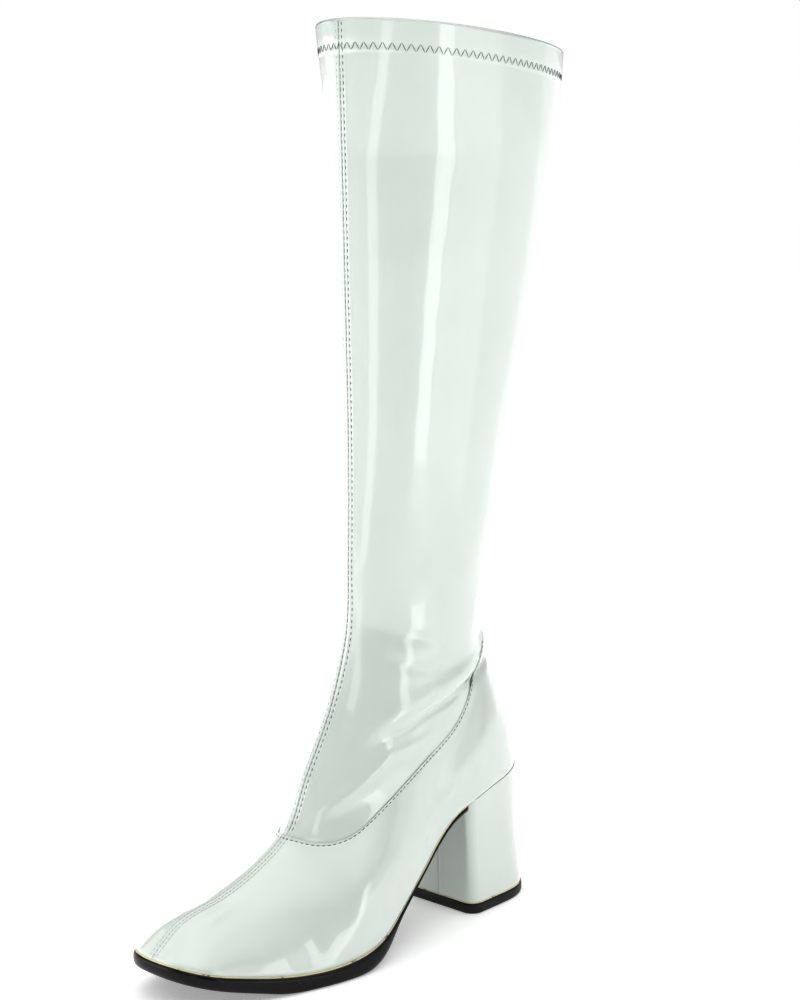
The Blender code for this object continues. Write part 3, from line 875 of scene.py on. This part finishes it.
# %% [markdown]
# Between the two outlines the cover is a stack of rings, hollowed a little halfway up. The butt
# seam is a fine groove, with the leather standing up slightly on both sides of it. The first and
# the last ring lie inside the edge, so that the slab's flat ends start there.

# %% Heel cover
RING_SHARES = (0, 0, 0.012, 0.04, 0.12, 0.25, 0.4, 0.55, 0.7, 0.85, 0.95, 0.99, 1, 1)
COVER_GROOVE, COVER_GROOVE_HALF = 0.4, 0.3
COVER_PAD, COVER_PAD_HALF = 0.12, 2.0
FOOT_EDGE, END_INSET, SEAT_GAP = -0.15, 2.0, 0.03

seam_distance = heel_foot[:, 0] - COVER_SEAM
on_breast = heel_foot[:, 1] < HEEL_BACK_Y - HEEL_LENGTH + 0.5
seam_cut = COVER_PAD * bump_at(seam_distance, 0, COVER_PAD_HALF)
seam_cut = np.where(on_breast, seam_cut - COVER_GROOVE * bump_at(seam_distance, 0, COVER_GROOVE_HALF), 0)
heel_rings = []
bottom = TOP_PIECE_HEIGHT + GLUE_GAP
for i, share in enumerate(RING_SHARES):
    at_end = i in (0, len(RING_SHARES) - 1)
    reach = -HEEL_HOLLOW * math.sin(math.pi * share) + (FOOT_EDGE if share == 1 else 0)
    reach = reach - END_INSET if at_end else reach + seam_cut
    outline = grown(flat(heel_seat + (heel_foot - heel_seat) * share), reach)
    top = feather(outline[:, 1]) - SEAT_GAP
    outline[:, 2] = top + (bottom - top) * share
    heel_rings.append(outline)
heel_cover = sharpen(slab("heel_cover", heel_rings), 55)
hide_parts("heel_block")

# %% [markdown]
# ## The top piece
# The heel's top piece is moulded black rubber, a little larger than the cover and bevelled at
# the tread. Each ring of the slab is the heel's outline, moved in or out.

# %% Top piece
TOP_PIECE_EDGE = table(
    "depth reach",
    (0, -3), (0, -0.7), (0.04, -0.25), (0.12, 0), (0.4, 0.05), (0.75, 0), (0.88, -0.25),
    (0.96, -0.6), (1, -1.2), (1, -4),
)
piece_rings = []
for depth, reach in zip(TOP_PIECE_EDGE["depth"], TOP_PIECE_EDGE["reach"]):
    outline = grown(flat(heel_foot), TOP_PIECE_PROUD + reach)
    outline[:, 2] = TOP_PIECE_HEIGHT * (1 - depth)
    piece_rings.append(outline)
top_piece = sharpen(slab("heel_top_piece_dressed", piece_rings), 50)
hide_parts("heel_top_piece")

# %% [markdown]
# A second hairline of cement shows above the top piece. It is made as the first one was.

# %% Heel bond line
heel_bond_rings = []
for share, reach in ((0, -0.1), (0.5, 0.2), (1, 0.15)):
    outline = grown(flat(heel_foot), reach)
    outline[:, 2] = bottom + BOND_COVER - (GLUE_GAP + 2 * BOND_COVER) * share
    heel_bond_rings.append(outline)
heel_bond_line = slab("heel_bond_line", heel_bond_rings)

# %% [markdown]
# ## Stitches
# A stitch is a short run of thread that dips into a needle hole at both ends. One small
# stretched ball for each, half sunk in the leather, is enough at this distance: there are well
# over a thousand, so each has only a few faces.

# %% Sewing
THREAD_SIDES, THREAD_RINGS = 6, 5


def along_row(points, outward, pitch):
    """Ends of stitches along a row: places at even distances, and the outward direction there."""
    count = max(2, int(lengths(points)[-1] / pitch))
    places = np.linspace(0, lengths(points)[-1], count + 1)
    along = lengths(points)
    ends = at_lengths(points, places)
    away = np.column_stack([np.interp(places, along, column) for column in outward.T])
    return ends, away / np.linalg.norm(away, axis=1, keepdims=True)


def sew(name, rows, thread, cover, sink):
    """Stitches between the ends of each row: cover is the share of each step that shows."""
    bm = bmesh.new()
    made = 0
    for ends, away in rows:
        for a, b, out_a, out_b in zip(ends, ends[1:], away, away[1:]):
            run = b - a
            length = np.linalg.norm(run)
            outward = (out_a + out_b) / 2
            x_axis = Vector(run / length)
            z_axis = Vector(outward - run * (outward @ run) / length**2).normalized()
            y_axis = z_axis.cross(x_axis)
            middle = (a + b) / 2 - outward * sink + SHIFT
            place = Matrix((x_axis, y_axis, z_axis)).transposed().to_4x4()
            size = Vector((length * cover / 2, thread / 2, thread / 2)) * MM
            place = Matrix.Translation(Vector(middle * MM)) @ place @ Matrix.Diagonal(size).to_4x4()
            bmesh.ops.create_uvsphere(
                bm, u_segments=THREAD_SIDES, v_segments=THREAD_RINGS, radius=1, matrix=place,
            )
            made += 1
    keep(bm, name)
    print(" ", made, "stitches")


# %% [markdown]
# ## Stitches along the seams
# The rows beside the front and back seams follow the panel's own columns. On the shaft the row on
# the boot's outer side lies on the leather, and the one on its inner side is pulled in deeper. On
# the foot the stitches are shorter and finer, and small loops of thread show in the seam itself.

# %% Seam stitches
LEG_PITCH, FOOT_PITCH, ABOVE_SEAM = 3.1, 2.4, 1.004


def seam_row(panel, rows, distance, pitch, seam):
    """A row of stitches at a distance beside the front or rear seam of a panel."""
    columns = np.abs(panel[seam][rows] - distance).argmin(axis=1)
    return along_row(panel["places"][rows, columns], panel["out"][rows, columns], pitch)


leg_rows = np.arange(np.searchsorted(shaft_levels, ABOVE_SEAM), skin_rows)
foot_seam_rows = np.arange(3, len(foot_places) - 4)
# name, panel, its rows, distances from the seam, pitch, thread, share that shows, how far it sinks in
SEAM_STITCHES = (
    ("leg_topstitch", leg, leg_rows, (TOPSTITCH,), LEG_PITCH, 0.5, 0.6, 0.0),
    ("leg_inner_topstitch", leg, leg_rows, (-TOPSTITCH,), LEG_PITCH, 0.34, 0.5, 0.05),
    ("centre_seam_thread", leg, leg_rows, (0,), LEG_PITCH, 0.34, 1.0, -0.06),
    ("foot_centre_thread", foot, foot_seam_rows, (0,), FOOT_PITCH, 0.42, 0.28, -0.12),
    ("foot_topstitch", foot, foot_seam_rows, (TOPSTITCH, -TOPSTITCH), FOOT_PITCH, 0.26, 0.9, 0.02),
)
for name, panel, rows, distances, pitch, thread, cover, sink in SEAM_STITCHES:
    beside = [(distance, seam) for distance in distances for seam in ("front", "rear")]
    sewn = [seam_row(panel, rows, distance, pitch, seam) for distance, seam in beside]
    sew(name, sewn, thread, cover, sink)

# %% [markdown]
# ## Stitches across the panels
# The single row beside the vamp seam keeps an even distance from the panel's edge. It is left out
# where the fold at the back of the ankle covers the edge.

# %% Vamp seam stitches
EDGE_PITCH, COVERED = 2.8, 22
LAST_FLAT_ROW = -4  # the three rows after it turn over the panel's edge


def level_row(panel, at_rows):
    """A line across a panel, at a place between two rows for each of its columns."""
    columns = np.arange(panel["places"].shape[1])
    row = at_rows.astype(int)
    share = (at_rows - row)[:, None]
    return [
        panel[name][row, columns] * (1 - share) + panel[name][row + 1, columns] * share
        for name in ("places", "out")
    ]


edge_rows = np.array([
    np.interp(-EDGE_STITCH, -below_edge[:-1, i], np.arange(len(below_edge) - 1))
    for i in range(below_edge.shape[1])
])
edge_places, edge_out = level_row(foot, edge_rows)
seen = np.abs(foot["rear"][LAST_FLAT_ROW]) > COVERED
edge_row = along_row(edge_places[seen], edge_out[seen], EDGE_PITCH)
sew("vamp_seam_stitches", [edge_row], thread=0.46, cover=0.74, sink=0.0)

# %% [markdown]
# The hem is sewn with a zigzag so that the collar can stretch. Its legs run between two lines
# 4.2 mm apart, with a leg every 2.3 mm round the collar.

# %% Collar zigzag
ZIGZAG_STEP = 2.3
leg_below = (2 - shaft_levels) * COLLAR_STRETCH / (2 - COLLAR_LEVEL)
zigzag_lines = []
for depth in (ZIGZAG_DEPTH - ZIGZAG_WIDTH / 2, ZIGZAG_DEPTH + ZIGZAG_WIDTH / 2):
    row = np.interp(-depth, -leg_below, np.arange(skin_rows))
    zigzag_lines.append(level_row(leg, np.full(leg["places"].shape[1], row)))
turns = 2 * round(lengths(zigzag_lines[0][0])[-1] / ZIGZAG_STEP / 2)
corners, corner_out = [], []
for i in range(turns + 1):
    line, outward = zigzag_lines[i % 2]
    place = i / turns * lengths(line)[-1]
    corners.append(at_lengths(line, [place])[0])
    corner_out.append([np.interp(place, lengths(line), column) for column in outward.T])
sew("collar_zigzag", [(np.array(corners), np.array(corner_out))], thread=0.38, cover=1.0, sink=0.0)

# %% [markdown]
# ## Finishes
# Each finish is a set of shader nodes built in code. One helper adds a node with its settings
# and links. Colours are written as the sRGB hex values that a paint program shows, and one
# function turns them into the linear values that a shader works in. A Mix node has inputs for
# several kinds of value under the same names, so its two colours are reached by number.

# %% Colours and nodes
COLOUR_A, COLOUR_B, COLOUR_OUT = 6, 7, 2
WAVE_REPEAT = math.tau / 20  # a Wave texture at scale 1 repeats after this length


def colour(hex_value):
    """An sRGB hex value as linear red, green, blue and full opacity."""
    parts = [int(hex_value[i:i + 2], 16) / 255 for i in (1, 3, 5)]
    return (*[p / 12.92 if p <= 0.04045 else ((p + 0.055) / 1.055) ** 2.4 for p in parts], 1)


def add_node(tree, kind, settings, inputs):
    """Adds a node: settings are its properties, inputs are values or other nodes' outputs."""
    node = tree.nodes.new(kind)
    for name, value in settings.items():
        setattr(node, name, value)
    for name, value in inputs.items():
        if isinstance(value, bpy.types.NodeSocket):
            tree.links.new(value, node.inputs[name])
        else:
            node.inputs[name].default_value = value
    return node


def finish(name, **values):
    """A new material and its tree, with values on the shader's own sockets."""
    material = bpy.data.materials.new(name)
    material.use_nodes = True
    shader = material.node_tree.nodes["Principled BSDF"]
    for key, value in values.items():
        shader.inputs[key.replace("_", " ")].default_value = value
    return material, material.node_tree, shader


def wear(material, *names):
    """Gives pieces a material in place of what they had."""
    for name in names:
        piece = bpy.data.objects[name]
        piece.data.materials.clear()
        piece.data.materials.append(material)
        print(name, "wears", material.name)


# %% [markdown]
# ## White patent
# Patent is a knit-backed sheet under a thick clear coat, cast against a smooth drum. The coat
# gives sharp reflections over a softer white sheen. It is never quite flat: a faint orange peel
# about 4 mm across bends the reflections, and the white is a touch uneven in patches of 30 mm.
# So the shader's coat carries the peel, and the softer layer under it carries the patches. Sizes
# of patterns are in metres, as the mesh is.

# %% White patent
PATCH, PEEL, PEEL_HEIGHT = 0.030, 0.004, 0.000012
patent, tree, shader = finish(
    "cast_patent_white", Roughness=0.24, IOR=1.5, Coat_Weight=1.0, Coat_Roughness=0.025, Coat_IOR=1.5,
)
place = add_node(tree, "ShaderNodeTexCoord", {}, {})
patches = add_node(
    tree, "ShaderNodeTexNoise", {}, {"Vector": place.outputs["Object"], "Scale": 1 / PATCH, "Detail": 2.0},
)
tint = add_node(
    tree, "ShaderNodeMix", {"data_type": "RGBA"},
    {"Factor": patches.outputs["Fac"], COLOUR_A: colour("#D7DFD9"), COLOUR_B: colour("#DDE5DF")},
)
tree.links.new(tint.outputs[COLOUR_OUT], shader.inputs["Base Color"])
sheen = add_node(
    tree, "ShaderNodeMapRange", {}, {"Value": patches.outputs["Fac"], "To Min": 0.2, "To Max": 0.28},
)
tree.links.new(sheen.outputs["Result"], shader.inputs["Roughness"])
peel = add_node(
    tree, "ShaderNodeTexNoise", {}, {"Vector": place.outputs["Object"], "Scale": 1 / PEEL, "Detail": 2.0},
)
bump = add_node(
    tree, "ShaderNodeBump", {}, {"Height": peel.outputs["Fac"], "Strength": 1.0, "Distance": PEEL_HEIGHT},
)
tree.links.new(bump.outputs["Normal"], shader.inputs["Coat Normal"])
wear(patent, "foot_panel", "shaft", "heel_cover")

# %% [markdown]
# ## Black sole edge
# The sole's edge is inked and then polished with hot wax, which leaves a deep black with a soft
# gloss and faint streaks along it. The streaks are a noise stretched along the floor, and are
# drawn 1.2 mm high, coarser than real ones, so that they show.

# %% Sole edge
STREAK, ALONG_FLOOR = 0.0012, (0.15, 0.15, 1.0)
black, tree, shader = finish(
    "inked_waxed_sole_black", Roughness=0.3, IOR=1.4, Coat_Weight=0.15, Coat_Roughness=0.12,
)
place = add_node(tree, "ShaderNodeTexCoord", {}, {})
along = add_node(
    tree, "ShaderNodeMapping", {}, {"Vector": place.outputs["Object"], "Scale": ALONG_FLOOR},
)
streaks = add_node(
    tree, "ShaderNodeTexNoise", {}, {"Vector": along.outputs["Vector"], "Scale": 1 / STREAK, "Detail": 3.0},
)
depth = add_node(
    tree, "ShaderNodeMix", {"data_type": "RGBA"},
    {"Factor": streaks.outputs["Fac"], COLOUR_A: colour("#030304"), COLOUR_B: colour("#08090A")},
)
tree.links.new(depth.outputs[COLOUR_OUT], shader.inputs["Base Color"])
wax = add_node(
    tree, "ShaderNodeMapRange", {}, {"Value": streaks.outputs["Fac"], "To Min": 0.2, "To Max": 0.38},
)
tree.links.new(wax.outputs["Result"], shader.inputs["Roughness"])
bump = add_node(
    tree, "ShaderNodeBump", {}, {"Height": streaks.outputs["Fac"], "Strength": 0.5, "Distance": 0.00002},
)
tree.links.new(bump.outputs["Normal"], shader.inputs["Normal"])
wear(black, "outsole_dressed")

# %% [markdown]
# ## Moulded rubber
# The heel's top piece is moulded rubber: black too, but with a matt grain from the mould, drawn
# 0.6 mm wide so that it shows. Handling leaves it a little paler in patches of 12 mm.

# %% Moulded rubber
GRAIN, SCUFF = 0.0006, 0.012
rubber, tree, shader = finish("moulded_rubber_black", Roughness=0.5, IOR=1.52)
place = add_node(tree, "ShaderNodeTexCoord", {}, {})
grain = add_node(
    tree, "ShaderNodeTexNoise", {}, {"Vector": place.outputs["Object"], "Scale": 1 / GRAIN, "Detail": 2.0},
)
scuffs = add_node(
    tree, "ShaderNodeTexNoise", {}, {"Vector": place.outputs["Object"], "Scale": 1 / SCUFF, "Detail": 4.0},
)
depth = add_node(
    tree, "ShaderNodeMix", {"data_type": "RGBA"},
    {"Factor": scuffs.outputs["Fac"], COLOUR_A: colour("#08080A"), COLOUR_B: colour("#121314")},
)
tree.links.new(depth.outputs[COLOUR_OUT], shader.inputs["Base Color"])
matt = add_node(
    tree, "ShaderNodeMapRange", {}, {"Value": scuffs.outputs["Fac"], "To Min": 0.36, "To Max": 0.52},
)
tree.links.new(matt.outputs["Result"], shader.inputs["Roughness"])
bump = add_node(
    tree, "ShaderNodeBump", {}, {"Height": grain.outputs["Fac"], "Strength": 0.6, "Distance": 0.00005},
)
tree.links.new(bump.outputs["Normal"], shader.inputs["Normal"])
wear(rubber, "heel_top_piece_dressed")

# %% [markdown]
# ## Knit lining
# The lining is a plain white knit, soft and without gloss. Its wales run up the leg, and are drawn
# 1.6 mm apart, twice their real spacing, so that they still show. The panel's UV map is in
# millimetres, so the pattern follows the cloth.

# %% Knit lining
WALE = 1.6
knit, tree, shader = finish(
    "knitted_lining_white", Roughness=0.85, Sheen_Weight=0.35, Sheen_Roughness=0.5,
)
cloth = add_node(tree, "ShaderNodeUVMap", {"uv_map": "UVMap"}, {})
wales = add_node(
    tree, "ShaderNodeTexWave", {"wave_type": "BANDS", "bands_direction": "X"},
    {"Vector": cloth.outputs["UV"], "Scale": WAVE_REPEAT / WALE, "Distortion": 0.6, "Detail Scale": 2.0},
)
shade = add_node(
    tree, "ShaderNodeMix", {"data_type": "RGBA"},
    {"Factor": wales.outputs["Fac"], COLOUR_A: colour("#D2D3CD"), COLOUR_B: colour("#E9E9E4")},
)
tree.links.new(shade.outputs[COLOUR_OUT], shader.inputs["Base Color"])
bump = add_node(
    tree, "ShaderNodeBump", {}, {"Height": wales.outputs["Fac"], "Strength": 0.7, "Distance": 0.0003},
)
tree.links.new(bump.outputs["Normal"], shader.inputs["Normal"])
wear(knit, "lining")

# %% [markdown]
# ## Sock leather
# The sock on the insole is thin pigskin, tanned off-white and lightly pressed. It has a low
# sheen, pores about 1.5 mm apart and a hide that varies in patches of 20 mm.

# %% Sock leather
PORE, HIDE = 0.0015, 0.02
sock, tree, shader = finish("pigskin_sock_offwhite", Roughness=0.5, IOR=1.45)
place = add_node(tree, "ShaderNodeTexCoord", {}, {})
pores = add_node(
    tree, "ShaderNodeTexVoronoi", {}, {"Vector": place.outputs["Object"], "Scale": 1 / PORE},
)
hide = add_node(
    tree, "ShaderNodeTexNoise", {}, {"Vector": place.outputs["Object"], "Scale": 1 / HIDE, "Detail": 3.0},
)
shade = add_node(
    tree, "ShaderNodeMix", {"data_type": "RGBA"},
    {"Factor": hide.outputs["Fac"], COLOUR_A: colour("#D8D3C6"), COLOUR_B: colour("#E4E0D6")},
)
tree.links.new(shade.outputs[COLOUR_OUT], shader.inputs["Base Color"])
bump = add_node(
    tree, "ShaderNodeBump", {}, {"Height": pores.outputs["Distance"], "Strength": 0.4, "Distance": 0.0001},
)
tree.links.new(bump.outputs["Normal"], shader.inputs["Normal"])
wear(sock, "insole")

# %% [markdown]
# ## Cement
# The bond lines are dried cement and board edge, a warm cream, half matt, with small brown spots
# of about 4 mm where it was squeezed out.

# %% Cement
SPOT = 0.004
cement, tree, shader = finish("dried_cement_cream", Roughness=0.55)
place = add_node(tree, "ShaderNodeTexCoord", {}, {})
spots = add_node(
    tree, "ShaderNodeTexNoise", {}, {"Vector": place.outputs["Object"], "Scale": 1 / SPOT, "Detail": 3.0},
)
few = add_node(
    tree, "ShaderNodeMapRange", {}, {"Value": spots.outputs["Fac"], "From Min": 0.6, "From Max": 0.68},
)
shade = add_node(
    tree, "ShaderNodeMix", {"data_type": "RGBA"},
    {"Factor": few.outputs["Result"], COLOUR_A: colour("#E6DFB6"), COLOUR_B: colour("#A08B5A")},
)
tree.links.new(shade.outputs[COLOUR_OUT], shader.inputs["Base Color"])
wear(cement, "sole_bond_line", "heel_bond_line")

# %% [markdown]
# ## Thread
# The thread is bonded polyester, grey-green and a little shiny, and its two plies show as a fine
# twist; its dark grey-green is partly painted shade. On the foot and in the inner row down the leg
# the stitches are pulled deep into the patent, and there the thread is drawn paler as a painted highlight.

# %% Thread
PLY = 0.0006
THREADS = (
    # grey copy: the thread's grey-green, darkened in part with painted shade
    ("thread_grey_with_painted_shade", "#3A4540", "#55625B",
     ("leg_topstitch", "centre_seam_thread", "vamp_seam_stitches", "collar_zigzag")),
    # pale copy: the same thread, lightened with a painted highlight
    ("thread_with_painted_highlight", "#6B7771", "#8A958F",
     ("leg_inner_topstitch", "foot_topstitch", "foot_centre_thread")),
)
for name, low, high, pieces in THREADS:
    thread, tree, shader = finish(name, Roughness=0.5, Sheen_Weight=0.2)
    place = add_node(tree, "ShaderNodeTexCoord", {}, {})
    twist = add_node(
        tree, "ShaderNodeTexWave", {"wave_type": "BANDS", "bands_direction": "DIAGONAL"},
        {"Vector": place.outputs["Object"], "Scale": WAVE_REPEAT / PLY},
    )
    shade = add_node(
        tree, "ShaderNodeMix", {"data_type": "RGBA"},
        {"Factor": twist.outputs["Fac"], COLOUR_A: colour(low), COLOUR_B: colour(high)},
    )
    tree.links.new(shade.outputs[COLOUR_OUT], shader.inputs["Base Color"])
    wear(thread, *pieces)

# %% [markdown]
# ## The light table
# White footwear is often photographed on a light table, a sheet of white acrylic lit from below,
# so that the ground stays white and the lower edges of the object burn out. The floor here is
# such a sheet, 12 m across, so that its edge is never in view.

# %% Floor
FLOOR_RADIUS, FROST, GLOW = 6, 0.002, 0.38
bm = bmesh.new()
bmesh.ops.create_circle(bm, cap_ends=True, radius=FLOOR_RADIUS, segments=96)
mesh = bpy.data.meshes.new("floor")
bm.to_mesh(mesh)
bm.free()
floor = bpy.data.objects.new("floor", mesh)
bpy.context.scene.collection.objects.link(floor)
acrylic, tree, shader = finish(
    "backlit_acrylic_white", Base_Color=colour("#F4F5F4"), Roughness=0.7,
    Emission_Color=colour("#FFFFFF"), Emission_Strength=GLOW,
)
place = add_node(tree, "ShaderNodeTexCoord", {}, {})
frost = add_node(
    tree, "ShaderNodeTexNoise", {}, {"Vector": place.outputs["Object"], "Scale": 1 / FROST, "Detail": 1.0},
)
matt = add_node(
    tree, "ShaderNodeMapRange", {}, {"Value": frost.outputs["Fac"], "To Min": 0.65, "To Max": 0.75},
)
tree.links.new(matt.outputs["Result"], shader.inputs["Roughness"])
floor.data.materials.append(acrylic)
print("floor", 2 * FLOOR_RADIUS, "m across")

# %% [markdown]
# ## Softboxes
# A gloss is seen by what it mirrors. Tall softboxes stand in a ring round the boot, and the dark
# band down the leg is the gap that the camera looks through. The two narrow bright ones beside
# the gap draw the sharp highlights next to that band. One wide light hangs above.

# %% Softboxes
RIG_RADIUS = 0.95
OVERHEAD_UP, OVERHEAD_ACROSS, OVERHEAD_RADIANCE = 1.6, 1.6, 0.4
BOXES = table(
    "azimuth width low high radiance",
    (-70, 36, 0.0, 0.5, 1.1), (-34, 34, 0.0, 0.45, 2.3), (-34, 34, 0.6, 1.2, 0.8),
    (4, 38, 0.0, 0.45, 0.35), (31, 13, 0.0, 0.45, 1.6), (88, 11, 0.0, 0.45, 2.6),
    (111, 33, 0.0, 0.45, 0.9), (111, 33, 0.6, 1.2, 0.5), (146, 36, 0.0, 0.45, 0.3),
    (190, 50, 0.0, 0.45, 0.5), (-115, 50, 0.0, 0.45, 0.5),
)


def softbox(name, place, turn, radiance, size, size_y=None):
    """An area light whose strength is given as the brightness of its face."""
    light = bpy.data.lights.new(name, "AREA")
    light.shape = "RECTANGLE" if size_y else "DISK"
    light.size = size
    face = math.pi * size**2 / 4
    if size_y:
        light.size_y = size_y
        face = size * size_y
    light.energy = radiance * math.pi * face
    box = bpy.data.objects.new(name, light)
    box.location, box.rotation_euler = place, turn
    box.visible_camera = False
    bpy.context.scene.collection.objects.link(box)


for azimuth, width, low, high, radiance in zip(*BOXES.values()):
    turned = math.radians(azimuth)
    place = (RIG_RADIUS * math.sin(turned), -RIG_RADIUS * math.cos(turned), (low + high) / 2)
    across = 2 * RIG_RADIUS * math.tan(math.radians(width) / 2)
    softbox("softbox", place, (math.pi / 2, 0, turned), radiance, across, high - low)
softbox("overhead", (0, 0, OVERHEAD_UP), (0, 0, 0), OVERHEAD_RADIANCE, OVERHEAD_ACROSS)
print(len(BOXES["azimuth"]) + 1, "softboxes")

# %% [markdown]
# ## Room and picture
# The room is white to the camera. For the light it has a broad white ceiling and a bright line
# where far floor and wall meet. The picture is printed with a catalogue's firm contrast.

# %% Room
HORIZON, HORIZON_TOP = 0.85, 0.15
CEILING, CEILING_FROM, CEILING_TO = 1.5, 0.45, 0.9
CONTRAST = 0.7
world = bpy.data.worlds.new("white_room")
bpy.context.scene.world = world
world.use_nodes = True
tree = world.node_tree
tree.nodes.clear()
sky = add_node(tree, "ShaderNodeTexCoord", {}, {})
height = add_node(tree, "ShaderNodeSeparateXYZ", {}, {"Vector": sky.outputs["Generated"]})
fading = add_node(
    tree, "ShaderNodeMapRange", {"interpolation_type": "SMOOTHSTEP"},
    {"Value": height.outputs["Z"], "From Max": HORIZON_TOP, "To Min": HORIZON, "To Max": 0.0},
)
ceiling = add_node(
    tree, "ShaderNodeMapRange", {"interpolation_type": "SMOOTHSTEP"},
    {"Value": height.outputs["Z"], "From Min": CEILING_FROM, "From Max": CEILING_TO, "To Max": CEILING},
)
both = add_node(
    tree, "ShaderNodeMath", {"operation": "ADD"},
    {0: fading.outputs["Result"], 1: ceiling.outputs["Result"]},
)
dim = add_node(
    tree, "ShaderNodeBackground", {}, {"Color": colour("#FFFFFF"), "Strength": both.outputs["Value"]},
)
white = add_node(tree, "ShaderNodeBackground", {}, {"Color": colour("#FFFFFF"), "Strength": 1.0})
path = add_node(tree, "ShaderNodeLightPath", {}, {})
room = add_node(
    tree, "ShaderNodeMixShader", {},
    {0: path.outputs["Is Camera Ray"], 1: dim.outputs[0], 2: white.outputs[0]},
)
add_node(tree, "ShaderNodeOutputWorld", {}, {"Surface": room.outputs[0]})

picture = bpy.context.scene.view_settings
picture.view_transform = "Standard"
picture.gamma = CONTRAST
print("ceiling", CEILING, "and horizon", HORIZON, "for the light, white for the camera")
